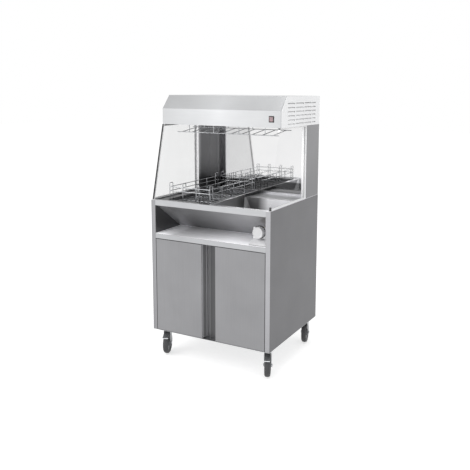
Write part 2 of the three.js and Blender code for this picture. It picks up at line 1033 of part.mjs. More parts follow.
// Carton rack: low and high rails around the lanes, hoops at both ends and floor wires.
const rackFloor = wellFloor + rackFloorGap + rackWire;
const rackLow = deckHeight + rackLowRail;
const rackHigh = deckHeight + rackHighRail;
const rackTop = deckHeight + rackHoop;
const rackLeft = wellLeft + rackSideGap;
const rackRight = wellRight - rackSideGap;
const rackY0 = fromFront(wellFront + rackEndGap);
const rackY1 = fromFront(wellBack - rackEndGap);
const rackWires = [];
for (let lane = 0; lane <= rackLaneCount; lane++) {
  const x = rackLeft + ((rackRight - rackLeft) * lane) / rackLaneCount;
  rackWires.push(
    ...wire(
      [
        [x, rackY0 + rackHoopDepth, rackFloor],
        [x, rackY0 + rackHoopDepth, rackTop],
        [x, rackY0, rackTop],
        [x, rackY0, rackFloor],
        [x, rackY1, rackFloor],
        [x, rackY1, rackTop],
        [x, rackY1 - rackHoopDepth, rackTop],
        [x, rackY1 - rackHoopDepth, rackFloor],
      ],
      rackWire,
    ),
    ...wire(
      [
        [x, rackY0 - rackWire, rackLow],
        [x, rackY1 + rackWire, rackLow],
      ],
      rackWire,
    ),
  );
  if (lane === 0 || lane === rackLaneCount) {
    rackWires.push(
      ...wire(
        [
          [x, rackY0 - rackWire, rackHigh],
          [x, rackY1 + rackWire, rackHigh],
        ],
        rackWire,
      ),
    );
  }
  for (let bay = 1; bay < rackBayCount; bay++) {
    const y = rackY0 + ((rackY1 - rackY0) * bay) / rackBayCount;
    rackWires.push(
      ...wire(
        [
          [x, y, rackFloor],
          [x, y, lane === 0 || lane === rackLaneCount ? rackHigh : rackLow],
        ],
        rackWire,
      ),
    );
  }
}
for (const y of [rackY0, rackY1]) {
  for (const z of [rackLow, rackHigh]) {
    rackWires.push(
      ...wire(
        [
          [rackLeft - rackWire, y, z],
          [rackRight + rackWire, y, z],
        ],
        rackWire,
      ),
    );
  }
}
for (let bay = 0; bay <= rackBayCount; bay++) {
  const y = rackY0 + ((rackY1 - rackY0) * bay) / rackBayCount;
  rackWires.push(
    ...wire(
      [
        [rackLeft - rackWire, y, rackFloor - rackWire],
        [rackRight + rackWire, y, rackFloor - rackWire],
      ],
      rackWire,
    ),
  );
}
for (let lane = 0; lane < rackLaneCount; lane++) {
  const laneWidth = (rackRight - rackLeft) / rackLaneCount;
  for (let i = 1; i <= rackFloorWireCount; i++) {
    const x = rackLeft + laneWidth * (lane + i / (rackFloorWireCount + 1));
    rackWires.push(
      ...wire(
        [
          [x, rackY0 - rackWire, rackFloor],
          [x, rackY1 + rackWire, rackFloor],
        ],
        rackWire,
      ),
    );
  }
}
addNode("carton_rack", join(...rackWires), 0xd8dadc, 1, 0.2);

// Side glasses and the dark trims round their edges, standing on the rims.
const glassX = halfWidth - glassInset;
const trimBottom = rimHeight + seam;
const trimTop = hoodBottom - seam;
const trimRear = wingFront - seam;
const slant = (glassTopFront - glassBottomFront) / (trimTop - trimBottom);
const slantStretch = Math.hypot(1, slant);
const glassOutline = (grow) => {
  const low = trimBottom + trimRim - grow;
  const high = trimTop - trimRim + grow;
  const edge = (z) =>
    glassBottomFront + (z - trimBottom) * slant + (trimRim - grow) * slantStretch;
  return [
    [fromFront(edge(low)), low],
    [fromFront(trimRear - trimRim + grow), low],
    [fromFront(trimRear - trimRim + grow), high],
    [fromFront(edge(high)), high],
  ];
};
const rightGlass = prismX(
  glassOutline(0),
  glassX - glassThickness / 2,
  glassX + glassThickness / 2,
);
const fullTrim = cut(
  prismX(glassOutline(trimRim), glassX - trimWidth / 2, glassX + trimWidth / 2),
  prismX(glassOutline(-trimCover), glassX - trimWidth, glassX + trimWidth),
  prismX(
    glassOutline(seam),
    glassX - glassThickness / 2 - seam,
    glassX + glassThickness / 2 + seam,
  ),
);
addGlass("right_glass", rightGlass);
addGlass("left_glass", mirrored(rightGlass));

// The left channel runs round all four edges, the right one leaves the slanted edge bare.
const barePart = [
  [fromFront(-trimCover), trimBottom + trimEndHeight],
  [fromFront(glassTopFront + trimEndLength), trimBottom + trimEndHeight],
  [fromFront(glassTopFront + trimEndLength), trimTop - trimEndHeight],
  [fromFront(-trimCover), trimTop - trimEndHeight],
];
addRubber(
  "right_glass_trim",
  cut(fullTrim, prismX(barePart, glassX - trimWidth, glassX + trimWidth)),
);
addRubber("left_glass_trim", mirrored(fullTrim));

// Wings at the back that carry the hood: a sheet with a front flange and a rear return.
const wingPlan = bent(
  [
    [halfWidth - wingFlange, fromFront(wingFront + wingLip)],
    [halfWidth - wingFlange, fromFront(wingFront)],
    [halfWidth, fromFront(wingFront)],
    [halfWidth, fromFront(sideDepth)],
    [halfWidth - rearReturn, fromFront(sideDepth)],
  ],
  sheet,
);
const rightWing = prismZ(wingPlan, rimHeight + seam, hoodBottom - seam);
addSteel("right_wing", rightWing);
addSteel("left_wing", mirrored(rightWing));

// Polished panel between the wings, down to the worktop.
const mirrorInset = cabinetDepth - mirrorBackInset;
addPolished(
  "mirror_panel",
  join(
    box(
      -panHalf,
      panHalf,
      fromFront(mirrorInset),
      fromFront(mirrorInset + sheet),
      rimHeight + seam,
      hoodBottom - seam,
    ),
    box(
      -rimInner + seam,
      rimInner - seam,
      fromFront(mirrorInset),
      fromFront(mirrorInset + sheet),
      deckHeight + seam,
      rimHeight + sheet,
    ),
  ),
);

// Rear cover over the upper part.
addSteel(
  "rear_cover",
  box(
    -panHalf,
    panHalf,
    fromFront(cabinetDepth - sheet),
    fromFront(cabinetDepth),
    rimHeight + seam,
    hoodTop - hoodRearDrop - seam,
  ),
);

// Hood shell: bottom lip, fascia, slope, top and a drop edge at the back.
const fasciaTop = hoodBottom + fasciaHeight;
const slopeBack = hoodFront + slopeDepth;
const switchX = halfWidth - switchSideInset;
const switchHeight = hoodBottom + switchRise;
const hoodPath = [
  [fromFront(cabinetDepth), hoodTop - hoodRearDrop],
  [fromFront(cabinetDepth), hoodTop],
  [fromFront(slopeBack), hoodTop],
  [fromFront(hoodFront), fasciaTop],
  [fromFront(hoodFront), hoodBottom],
  [fromFront(hoodFront + hoodLip), hoodBottom],
];
const switchHole = box(
  switchX - switchWidth / 2 + switchBodyInset - seam,
  switchX + switchWidth / 2 - switchBodyInset + seam,
  fromFront(hoodFront - sheet),
  fromFront(hoodFront + sheet + sheet),
  switchHeight - switchTall / 2 + switchBodyInset - seam,
  switchHeight + switchTall / 2 - switchBodyInset + seam,
);
addSteel("hood_shell", cut(prismX(bent(hoodPath, sheet), -panHalf, panHalf), switchHole));

// Hood ends with rows of pressed louvres.
const endOutline = [
  [fromFront(hoodFront), hoodBottom],
  [fromFront(cabinetDepth), hoodBottom],
  [fromFront(cabinetDepth), hoodTop],
  [fromFront(slopeBack), hoodTop],
  [fromFront(hoodFront), fasciaTop],
];
const louvreFront = slopeBack + louvreFrontInset;
const louvreSpan = cabinetDepth - louvreBackInset - louvreFront;
const louvreCuts = [];
const louvreBlades = [];
for (const [frontShare, backShare] of louvreColumnShares) {
  const front = louvreFront + louvreSpan * frontShare;
  const back = louvreFront + louvreSpan * backShare;
  for (let row = 0; row < louvreRowCount; row++) {
    const top = hoodTop - louvreTopDrop - row * louvrePitch;
    const bottom = top - louvreOpening;
    louvreCuts.push(
      box(
        halfWidth - sheet - sheet,
        halfWidth + sheet,
        fromFront(front),
        fromFront(back),
        bottom,
        top,
      ),
    );
    louvreBlades.push(
      prismY(
        [
          [halfWidth, bottom - sheet],
          [halfWidth, bottom],
          [halfWidth - louvreReach, top - louvreSlit],
          [halfWidth - louvreReach - sheet, top - louvreSlit],
          [halfWidth - sheet, bottom - sheet],
        ].reverse(),
        fromFront(front - sheet),
        fromFront(back + sheet),
      ),
    );
  }
}
const rightEnd = join(
  cut(prismX(endOutline, halfWidth - sheet, halfWidth), ...louvreCuts),
  ...louvreBlades,
);
addSteel("hood_right_end", rightEnd);
addSteel("hood_left_end", mirrored(rightEnd));

// Lamp reflector: a trough that lies on the hood lip and on an edge at the back.
const reflectorHalf = panHalf - louvreReach - sheet - seam;
const reflectorBottom = hoodBottom + sheet + seam;
const reflectorCrown = hoodTop - reflectorCrownDrop;
const reflectorFront = hoodFront + reflectorLipWidth;
const reflectorBack = cabinetDepth - reflectorBackInset;
const reflectorPath = [
  [fromFront(hoodFront + sheet + seam + reflectorFlangeInset), reflectorBottom],
  [fromFront(reflectorFront), reflectorBottom],
  [fromFront(reflectorFront + reflectorFrontSlope), reflectorCrown],
  [fromFront(reflectorBack - reflectorBackSlope), reflectorCrown],
  [fromFront(reflectorBack), reflectorBottom + reflectorBackRise],
  [fromFront(cabinetDepth - sheet - seam), reflectorBottom + reflectorBackRise],
];
addPolished(
  "lamp_reflector",
  prismX(bent(reflectorPath, sheet), -reflectorHalf, reflectorHalf),
);

// Quartz heat lamps between ceramic end blocks under the reflector.
const lampHeight = reflectorCrown - lampDrop;
const lampHalfLength = halfWidth - lampSideInset;
const lampFront = hoodFront + lampFrontInset;
const lampBack = cabinetDepth - lampBackInset;
function heatLamp(inset) {
  const y = fromFront(inset);
  const block = (x) =>
    box(
      x - lampBlock / 2,
      x + lampBlock / 2,
      y - lampBlock / 2,
      y + lampBlock / 2,
      lampHeight - lampBlockDrop,
      reflectorCrown - seam,
    );
  return join(
    block(-lampHalfLength),
    block(lampHalfLength),
    bar(
      [-lampHalfLength, y, lampHeight],
      [lampHalfLength, y, lampHeight],
      lampRadius,
      roundSegments,
    ),
  );
}
addNode("front_lamp", heatLamp(lampFront), 0xf6efe4, 0, 0.2);
addNode("rear_lamp", heatLamp(lampBack), 0xf6efe4, 0, 0.2);

// Wire guard hung under the hood: two long wires, humped cross wires and hangers.
const guardLeft = guardLeftInset - halfWidth;
const guardRight = halfWidth - guardRightInset;
const guardFrontHeight = hoodBottom - guardFrontDrop;
const guardBackHeight = hoodBottom - guardBackDrop;
const guardFrontHang = hoodBottom + guardFrontHangRise;
const guardY0 = fromFront(hoodFront + guardFrontInset);
const guardY1 = fromFront(hoodFront + guardFrontInset + guardDepth);
const guardWires = [
  ...wire(
    [
      [guardLeft, guardY0, guardFrontHeight],
      [guardRight, guardY0, guardFrontHeight],
    ],
    guardWire,
  ),
  ...wire(
    [
      [guardLeft, guardY1, guardBackHeight],
      [guardRight, guardY1, guardBackHeight],
    ],
    guardWire,
  ),
];
for (let i = 0; i < guardCrossWireCount; i++) {
  const share = (i + 1 / 2) / guardCrossWireCount;
  const x = guardLeft + (guardRight - guardLeft) * share;
  guardWires.push(
    ...wire(
      [
        [x, guardY0 - guardWire, guardFrontHeight],
        [x, guardY1 + guardWire, guardBackHeight],
      ],
      guardWire,
    ),
  );
}
for (let i = 0; i < guardHangerCount; i++) {
  const share = (i + 1 / 2) / guardHangerCount;
  const x = guardLeft + (guardRight - guardLeft) * share;
  guardWires.push(
    ...wire(
      [
        [x, guardY0, guardFrontHeight],
        [x, guardY0, guardFrontHang],
        [x, guardY0 + guardHook, guardFrontHang],
      ],
      guardWire,
    ),
    ...wire(
      [
        [x, guardY1, guardBackHeight],
        [x, guardY1, reflectorCrown - seam - guardWire],
        [x, guardY1 - guardHook, reflectorCrown - seam - guardWire],
      ],
      guardWire,
    ),
  );
}
addNode("lamp_guard", join(...guardWires), 0xd8dadc, 1, 0.2);

// Rocker switch: a frame with a body behind the fascia, and the rocker in it.
const rimOuterX = switchWidth / 2;
const rimOuterZ = switchTall / 2;
const switchFace = fromFront(hoodFront - seam - switchProud);
const rockerHalfX = rimOuterX - switchRimWidth - rockerGap;
const rockerHalfZ = rimOuterZ - switchRimWidth - rockerGap;
addPlastic(
  "switch_frame",
  cut(
    join(
      box(
        switchX - rimOuterX,
        switchX + rimOuterX,
        switchFace,
        fromFront(hoodFront - seam),
        switchHeight - rimOuterZ,
        switchHeight + rimOuterZ,
      ),
      box(
        switchX - rimOuterX + switchBodyInset,
        switchX + rimOuterX - switchBodyInset,
        fromFront(hoodFront - seam - seam),
        fromFront(hoodFront + switchBodyDepth),
        switchHeight - rimOuterZ + switchBodyInset,
        switchHeight + rimOuterZ - switchBodyInset,
      ),
    ),
    box(
      switchX - rimOuterX + switchRimWidth,
      switchX + rimOuterX - switchRimWidth,
      switchFace - sheet,
      fromFront(hoodFront + switchBodyDepth - sheet - sheet),
      switchHeight - rimOuterZ + switchRimWidth,
      switchHeight + rimOuterZ - switchRimWidth,
    ),
  ),
  0x18181a,
);
const rockerOutline = [
  [-rockerPivotDepth - rockerRise, rockerHalfZ - rockerRise],
  [-rockerPivotDepth, 0],
  [-rockerPivotDepth - rockerRise, rockerRise - rockerHalfZ],
  [-rockerPivotDepth + rockerCrown, -rockerHalfZ],
  [rockerBack, -rockerCrown],
  [rockerBack, rockerCrown],
  [-rockerPivotDepth + rockerCrown, rockerHalfZ],
];
addPlastic(
  "switch_rocker",
  prismX(rockerOutline, -rockerHalfX, rockerHalfX)
    .rotateX(rockerTilt * degrees)
    .translate(switchX, switchFace + rockerPivotDepth, switchHeight),
  0xb03028,
);

// Casters, drawn pointing to +X with the swivel axis on the origin, then turned into place.
const raceTop = baseHeight - seam - mountPlateThickness;
const headTop = raceTop - raceHeight - seam;
const headBottom = headTop - headThickness;
const legInner = wheelWidth / 2 + legGap;
const legOuter = legInner + legThickness;
const mountShape = join(
  box(
    -mountPlate / 2,
    mountPlate / 2,
    -mountPlate / 2,
    mountPlate / 2,
    raceTop,
    baseHeight - seam,
  ),
  turned(
    [
      [0, raceTop - raceHeight],
      [raceRadius, raceTop - raceHeight],
      [raceRadius, raceTop + seam],
      [0, raceTop + seam],
    ],
    roundSegments,
  ),
);
const legOutline = [
  [-headRadius * headBackShare, headTop],
  [-headRadius * headBackShare, headBottom],
  [trail - axleBossRadius, wheelRadius],
  [trail - axleBossRadius * Math.SQRT1_2, wheelRadius - axleBossRadius * Math.SQRT1_2],
  [trail, wheelRadius - axleBossRadius],
  [trail + axleBossRadius * Math.SQRT1_2, wheelRadius - axleBossRadius * Math.SQRT1_2],
  [trail + axleBossRadius, wheelRadius],
  [legReach, headTop - legDrop],
  [legReach, headTop],
];
const axleHole = bar(
  [trail, -legOuter - sheet, wheelRadius],
  [trail, legOuter + sheet, wheelRadius],
  axleRadius + seam,
  roundSegments,
);
const forkShape = cut(
  join(
    turned(
      [
        [0, headBottom],
        [headRadius, headBottom],
        [headRadius, headTop],
        [0, headTop],
      ],
      roundSegments,
    ),
    box(
      -headRadius * headBackShare,
      legReach,
      -legOuter,
      legOuter,
      headTop - legThickness,
      headTop,
    ),
    prismY(legOutline, legInner, legOuter),
    prismY(legOutline, -legOuter, -legInner),
  ),
  axleHole,
);
const halfTread = wheelWidth / 2;
const wheelProfile = [
  [boreRadius, -halfTread],
  [hubRadius, -halfTread],
  [hubRadius, -halfTread + webDepth],
  [rimInnerRadius, -halfTread + webDepth],
  [rimInnerRadius, -halfTread + treadCrown],
  [wheelRadius - treadCrown - treadCrown, -halfTread + treadCrown / 2],
  [wheelRadius - treadCrown / 2, -halfTread + treadCrown + treadCrown],
  [wheelRadius, 0],
  [wheelRadius - treadCrown / 2, halfTread - treadCrown - treadCrown],
  [wheelRadius - treadCrown - treadCrown, halfTread - treadCrown / 2],
  [rimInnerRadius, halfTread - treadCrown],
  [rimInnerRadius, halfTread - webDepth],
  [hubRadius, halfTread - webDepth],
  [hubRadius, halfTread],
  [boreRadius, halfTread],
  [boreRadius, -halfTread],
];
const wheelShape = turned(wheelProfile, wheelSegments)
  .rotateX(-Math.PI / 2)
  .translate(trail, 0, wheelRadius);
const nutAt = (y0, y1) =>
  bar([trail, y0, wheelRadius], [trail, y1, wheelRadius], nutRadius, nutSides);
const nutStart = legOuter + seam;
const axleShape = join(
  bar(
    [trail, -nutStart - seam, wheelRadius],
    [trail, nutStart + seam, wheelRadius],
    axleRadius,
    roundSegments,
  ),
  nutAt(nutStart, nutStart + nutThickness),
  nutAt(-nutStart - nutThickness, -nutStart),
);
const pedalPath = [
  [pedalTipForward, pedalTipHeight - pedalTipLip],
  [pedalTipForward, pedalTipHeight],
  [pedalPivotForward, pedalPivotHeight],
];
const pedalShape = join(
  prismY(bent(pedalPath, pedalThickness), -pedalWidth / 2, pedalWidth / 2),
  bar(
    [pedalPivotForward, seam - legInner, pedalPivotHeight],
    [pedalPivotForward, legInner - seam, pedalPivotHeight],
    pedalBarrelRadius,
    roundSegments,
  ),
);

const swivelX = halfWidth - swivelSideInset;
const corners = [
  ["front_left", -swivelX, fromFront(frontSwivelInset), frontHeading - 90],
  ["front_right", swivelX, fromFront(frontSwivelInset), frontHeading - 90],
  ["rear_left", -swivelX, fromFront(cabinetDepth - rearSwivelInset), rearHeading + 90],
  ["rear_right", swivelX, fromFront(cabinetDepth - rearSwivelInset), rearHeading + 90],
];
for (const [corner, x, y, heading] of corners) {
  const placed = (shape, turn) =>
    shape.clone().rotateZ(turn * degrees).translate(x, y, 0);
  addZinc(corner + "_caster_mount", placed(mountShape, 0));
  addZinc(corner + "_caster_fork", placed(forkShape, heading));
  addRubber(corner + "_caster_wheel", placed(wheelShape, heading));
  addZinc(corner + "_caster_axle", placed(axleShape, heading));
  if (corner.startsWith("front")) {
    addZinc(corner + "_brake_pedal", placed(pedalShape, heading));
  }
}

export default group;
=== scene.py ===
import math

import bpy
from mathutils import Matrix, Vector


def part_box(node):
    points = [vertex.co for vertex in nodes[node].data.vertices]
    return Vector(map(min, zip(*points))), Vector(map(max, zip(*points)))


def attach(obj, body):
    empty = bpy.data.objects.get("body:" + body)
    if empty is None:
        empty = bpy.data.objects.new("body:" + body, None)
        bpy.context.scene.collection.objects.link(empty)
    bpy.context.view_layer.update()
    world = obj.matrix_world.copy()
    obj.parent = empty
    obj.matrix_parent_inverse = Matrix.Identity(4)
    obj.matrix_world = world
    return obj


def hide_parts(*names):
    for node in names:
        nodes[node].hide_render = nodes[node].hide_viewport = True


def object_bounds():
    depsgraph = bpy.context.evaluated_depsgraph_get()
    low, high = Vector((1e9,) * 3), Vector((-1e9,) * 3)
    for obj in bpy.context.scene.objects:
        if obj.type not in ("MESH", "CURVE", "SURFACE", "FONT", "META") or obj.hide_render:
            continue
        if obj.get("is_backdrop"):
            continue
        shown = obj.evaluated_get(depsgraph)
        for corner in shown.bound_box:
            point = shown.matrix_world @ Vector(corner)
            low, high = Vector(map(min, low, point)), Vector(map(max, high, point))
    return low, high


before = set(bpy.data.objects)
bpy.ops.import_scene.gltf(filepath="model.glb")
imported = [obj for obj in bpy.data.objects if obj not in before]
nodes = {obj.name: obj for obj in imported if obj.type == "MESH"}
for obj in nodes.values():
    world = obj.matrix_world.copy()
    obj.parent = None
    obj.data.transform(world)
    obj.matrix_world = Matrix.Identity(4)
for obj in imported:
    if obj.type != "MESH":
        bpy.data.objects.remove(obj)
cad_low, cad_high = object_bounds()

# Viewpoint: the camera stands to the right of the front, at the height of the hood,
# and is turned a little down. Lens and shift were fitted to corners of the cabinet.
eye = (1.786, -3.1507, 1.534)
turned_left, tipped_down, rolled = 0.4753, 0.1478, 0.007
camera_data = bpy.data.cameras.new("viewpoint")
camera_data.lens = 48.41
camera_data.sensor_width = 36.0
camera_data.shift_x = -0.06
camera_data.shift_y = -0.11
camera = bpy.data.objects.new("viewpoint", camera_data)
bpy.context.scene.collection.objects.link(camera)
camera.matrix_world = (
    Matrix.Translation(eye)
    @ Matrix.Rotation(turned_left, 4, "Z")
    @ Matrix.Rotation(math.radians(90) - tipped_down, 4, "X")
    @ Matrix.Rotation(rolled, 4, "Z")
)
bpy.context.scene.camera = camera
bpy.context.scene.view_settings.view_transform = "Standard"


def linear(code):
    """Linear colour of an sRGB hex code."""
    out = []
    for i in (1, 3, 5):
        c = int(code[i:i + 2], 16) / 255
        out.append(c / 12.92 if c <= 0.04045 else ((c + 0.055) / 1.055) ** 2.4)
    return (*out, 1.0)


def add(tree, kind, links=(), inputs=(), **settings):
    """Adds a node: settings are its properties, inputs its socket values, links its sources."""
    node = tree.nodes.new(kind)
    for key, value in settings.items():
        setattr(node, key, value)
    for socket, value in dict(inputs).items():
        node.inputs[socket].default_value = value
    for socket, source in dict(links).items():
        tree.links.new(source, node.inputs[socket])
    return node


def white_rays(tree):
    """1 for the rays that see the surroundings white, which are camera, glossy and
    transmission rays, and 0 for the rays that light the object."""
    path = add(tree, "ShaderNodeLightPath")
    seen = path.outputs["Is Camera Ray"]
    for kind in ("Is Glossy Ray", "Is Transmission Ray"):
        step = add(
            tree, "ShaderNodeMath", operation="MAXIMUM", links={0: seen, 1: path.outputs[kind]},
        )
        seen = step.outputs[0]
    return seen


# Studio: white surroundings that metal and glass mirror, at a plain level for the rest,
# with one large soft lamp from the left front and a weaker one from above.
plain_level = 0.72
world = bpy.data.worlds.new("white_studio")
bpy.context.scene.world = world
world.use_nodes = True
tree = world.node_tree
tree.nodes.clear()
level = add(
    tree, "ShaderNodeMapRange", links={"Value": white_rays(tree)},
    inputs={"To Min": plain_level, "To Max": 1.0},
)
ground = add(
    tree, "ShaderNodeBackground",
    links={"Strength": level.outputs[0]}, inputs={"Color": (1, 1, 1, 1)},
)
add(tree, "ShaderNodeOutputWorld", links={"Surface": ground.outputs[0]})

for name, place, aim, size, power in (
    ("softbox_left", (-2.2, -3.0, 3.2), (0, 0, 0.8), 2.6, 62),
    ("softbox_top", (0.6, -0.6, 4.2), (0, 0, 0.8), 2.4, 40),
):
    lamp = bpy.data.lights.new(name, "AREA")
    lamp.size = size
    lamp.energy = power
    holder = bpy.data.objects.new(name, lamp)
    holder.location = place
    holder.rotation_mode = "QUATERNION"
    holder.rotation_quaternion = (Vector(aim) - Vector(place)).to_track_quat("-Z", "Y")
    bpy.context.scene.collection.objects.link(holder)

# Floor: a pale matt sheet under the casters. The camera and the metal see it white where
# nothing shades it, and it keeps the shadow of the object.
floor_size, floor_gap = 40, 0.0005
bpy.ops.object.select_all(action="DESELECT")
bpy.ops.mesh.primitive_plane_add(size=floor_size, location=(0, 0, -floor_gap))
floor = bpy.context.object
floor.name = "floor"
floor_paper = bpy.data.materials.new("pale_paper")
floor_paper.use_nodes = True
tree = floor_paper.node_tree
tree.nodes.clear()
fibre = add(tree, "ShaderNodeTexNoise", inputs={"Scale": 90.0, "Detail": 3.0})
tint = add(
    tree, "ShaderNodeMix", data_type="RGBA", links={"Factor": fibre.outputs["Fac"]},
    inputs={"A": linear("#D0D0D0"), "B": linear("#D5D5D5")},
)
matt = add(tree, "ShaderNodeBsdfDiffuse", links={"Color": tint.outputs["Result"]})
glow = add(tree, "ShaderNodeEmission", inputs={"Color": (1, 1, 1, 1), "Strength": 0.62})
both = add(tree, "ShaderNodeAddShader", links={0: matt.outputs[0], 1: glow.outputs[0]})
mix = add(
    tree, "ShaderNodeMixShader",
    links={0: white_rays(tree), 1: matt.outputs[0], 2: both.outputs[0]},
)
add(tree, "ShaderNodeOutputMaterial", links={"Surface": mix.outputs[0]})
floor.data.materials.append(floor_paper)
floor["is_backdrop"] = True


# Cabinet sides: one folded sheet of satin stainless each, brushed level in long strokes.
# The front stile is painted lighter and the top rim carries a painted highlight line. The
# flat side is painted darker towards its foot as painted shade, softly clouded by rolling,
# and the whole sheet is darker towards the left.
# The strokes are about 0.1 mm wide, drawn at 2 to 3 mm so that they show at all.
def dress(names, material):
    """Gives CAD pieces this material in place of their plain one."""
    for name in names:
        slots = nodes[name].data.materials
        slots.clear()
        slots.append(material)


def blank_material(name):
    """A new material with its node tree, its shader and its Object coordinates."""
    made = bpy.data.materials.new(name)
    made.use_nodes = True
    tree = made.node_tree
    place = add(tree, "ShaderNodeTexCoord").outputs["Object"]
    return made, tree, tree.nodes["Principled BSDF"], place


def stainless(name, low, high, roughness, strokes, tones=(), metal=1.0, matt=None, clouds=0.05):
    """Brushed stainless. low and high are its darkest and lightest sRGB strokes, strokes
    scales the pattern along X, Y and Z, and clouds is how far wide patches stray. Each
    tone (axis, start, end, first, last) scales the colour from first to last along an
    axis. metal is the metallic value, which matt changes along an axis in the same way. A
    tone that ends with an axis and a limit counts only beyond that limit, or before it if
    "before" follows."""
    made, tree, shader, place = blank_material(name)
    shader.inputs["Metallic"].default_value = metal
    axes = add(tree, "ShaderNodeSeparateXYZ", links={"Vector": place})
    scale = add(
        tree, "ShaderNodeMapping", links={"Vector": place}, inputs={"Scale": strokes},
    )
    grain = add(
        tree, "ShaderNodeTexNoise", links={"Vector": scale.outputs[0]},
        inputs={"Scale": 1.0, "Detail": 5.0, "Roughness": 0.65},
    )
    colour = add(
        tree, "ShaderNodeMix", data_type="RGBA", links={"Factor": grain.outputs["Fac"]},
        inputs={"A": linear(low), "B": linear(high)},
    )
    wide = add(
        tree, "ShaderNodeTexNoise", links={"Vector": place},
        inputs={"Scale": 4.5, "Detail": 2.0, "Roughness": 0.5},
    )
    share = add(
        tree, "ShaderNodeMapRange", links={"Value": wide.outputs["Fac"]},
        inputs={"From Min": 0.3, "From Max": 0.7, "To Min": 1 - clouds, "To Max": 1 + clouds},
    )
    for axis, start, end, first, last, *gate in tones:
        step = add(
            tree, "ShaderNodeMapRange", links={"Value": axes.outputs[axis]},
            inputs={"From Min": start, "From Max": end, "To Min": first, "To Max": last},
        )
        if gate:
            side = "LESS_THAN" if "before" in gate else "GREATER_THAN"
            inside = add(
                tree, "ShaderNodeMath", operation=side,
                links={0: axes.outputs[gate[0]]}, inputs={1: gate[1]},
            )
            step = add(
                tree, "ShaderNodeMix", data_type="FLOAT",
                links={"Factor": inside.outputs[0], "B": step.outputs[0]}, inputs={"A": 1.0},
            )
        share = add(
            tree, "ShaderNodeMath", operation="MULTIPLY",
            links={0: share.outputs[0], 1: step.outputs[0]},
        )
    scaled = add(
        tree, "ShaderNodeVectorMath", operation="SCALE",
        links={"Vector": colour.outputs["Result"], "Scale": share.outputs[0]},
    )
    tree.links.new(scaled.outputs[0], shader.inputs["Base Color"])
    if matt:
        axis, start, end, first, last = matt
        step = add(
            tree, "ShaderNodeMapRange", links={"Value": axes.outputs[axis]},
            inputs={"From Min": start, "From Max": end, "To Min": first, "To Max": last},
        )
        tree.links.new(step.outputs[0], shader.inputs["Metallic"])
    rough = add(
        tree, "ShaderNodeMapRange", links={"Value": grain.outputs["Fac"]},
        inputs={"To Min": roughness - 0.05, "To Max": roughness + 0.05},
    )
    tree.links.new(rough.outputs[0], shader.inputs["Roughness"])
    bump = add(
        tree, "ShaderNodeBump", links={"Height": grain.outputs["Fac"]},
        inputs={"Strength": 0.12, "Distance": 0.0004},
    )
    tree.links.new(bump.outputs[0], shader.inputs["Normal"])
    return made


# The sheet is 1.5 mm thick, and a tone changes over the skin's depth at an edge of it.
level_strokes = (6.0, 6.0, 420.0)
upright_strokes = (380.0, 380.0, 5.0)
skin = 0.0005
sheet = 0.0015
front_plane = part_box("front_top_rail")[0].y
rim_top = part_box("right_side_panel")[1].z
side_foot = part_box("right_side_panel")[0].z
side_steel = stainless(
    "brushed_stainless_side", "#676769", "#747476", 0.36, level_strokes,
    # Painted highlights on the front stile and the top rim, painted shade towards the foot.
    tones=(
        ("Y", front_plane + sheet - skin, front_plane + sheet, 2.6, 1.0),
        ("Z", rim_top - sheet, rim_top - sheet + skin, 1.0, 5.2),
        ("Z", side_foot, rim_top, 0.92, 1.04),
        ("Z", side_foot, rim_top, 0.92, 1.06, "Y", front_plane + sheet, "before"),
        ("X", cad_low.x + sheet, 0.0, 0.78, 1.0),
    ),
)
dress(["right_side_panel", "left_side_panel"], side_steel)

# Cabinet back: a plain sheet of the same stainless with a cable gland pressed into it.
# The gland is black nylon, moulded, with a dull even skin.
back_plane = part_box("rear_cover")[1].y
back_steel = stainless(
    "brushed_stainless_back", "#777779", "#868688", 0.36, level_strokes,
    tones=(("Y", back_plane + skin, back_plane + skin + skin, 1.0, 0.06),),
    matt=("Y", back_plane + skin, back_plane + skin + skin, 1.0, 0.0),
)
dress(["cabinet_back"], back_steel)

# Front rails and the bottom pan: folded stainless brushed along its length, the lightest
# sheet of the cabinet front.
rail_steel = stainless(
    "brushed_stainless_rail", "#A6A7A9", "#B5B6B8", 0.3, level_strokes,
    # The top rail is painted lighter than the mid rail and the pan, as painted light.
    tones=(("Z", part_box("mid_rail")[1].z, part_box("front_top_rail")[0].z, 1.04, 1.2),),
)
dress(["front_top_rail", "mid_rail", "cabinet_bottom"], rail_steel)

# Slot liner: a bent sheet under the worktop. Its floor is painted pale and matt as painted
# light, paler towards the right. Its left end is painted dark as painted shade, and its
# leaning back wall carries painted shade, which deepens and fades along its length.
slot_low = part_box("storage_shelf")[0]
slot_floor, slot_left = slot_low.z + sheet, slot_low.x
shade_start, shade_end = slot_left + 0.05, slot_left + 0.12
liner_steel = stainless(
    "brushed_stainless_liner", "#A3A3A5", "#B6B6B8", 0.34, level_strokes,
    # Painted light on the floor, painted shade on the left end and the back wall.
    tones=(
        ("Z", slot_floor + skin, slot_floor + skin + skin, 2.7, 1.0),
        ("X", slot_left + sheet, slot_left + sheet + skin, 0.24, 1.2),
        ("X", shade_start, shade_end, 1.0, 0.55),
        ("X", slot_left + 0.17, slot_left + 0.45, 1.0, 1.5),
        ("X", slot_left + 0.30, slot_left + 0.50, 1.0, 1.2, "Z", slot_floor + skin, "before"),
    ),
    matt=("Z", slot_floor + skin, slot_floor + skin + skin, 0.0, 0.6),
)
dress(["storage_shelf"], liner_steel)

# Control bracket: a bent strip of stainless at the right end of the slot, linished bright.
# Its foot slopes up from the mid rail, and its face stands upright behind the knob and
# has a hole for the shaft.
def rounded(points, radius):
    """A path with its corners turned into arcs of five points."""
    out = [Vector(points[0])]
    for before, corner, after in zip(points, points[1:], points[2:]):
        corner = Vector(corner)
        back = (Vector(before) - corner).normalized()
        ahead = (Vector(after) - corner).normalized()
        start, end = corner + back * radius, corner + ahead * radius
        for i in range(5):
            t = i / 4
            out.append(start * (1 - t) ** 2 + corner * 2 * t * (1 - t) + end * t ** 2)
    return out + [Vector(points[-1])]


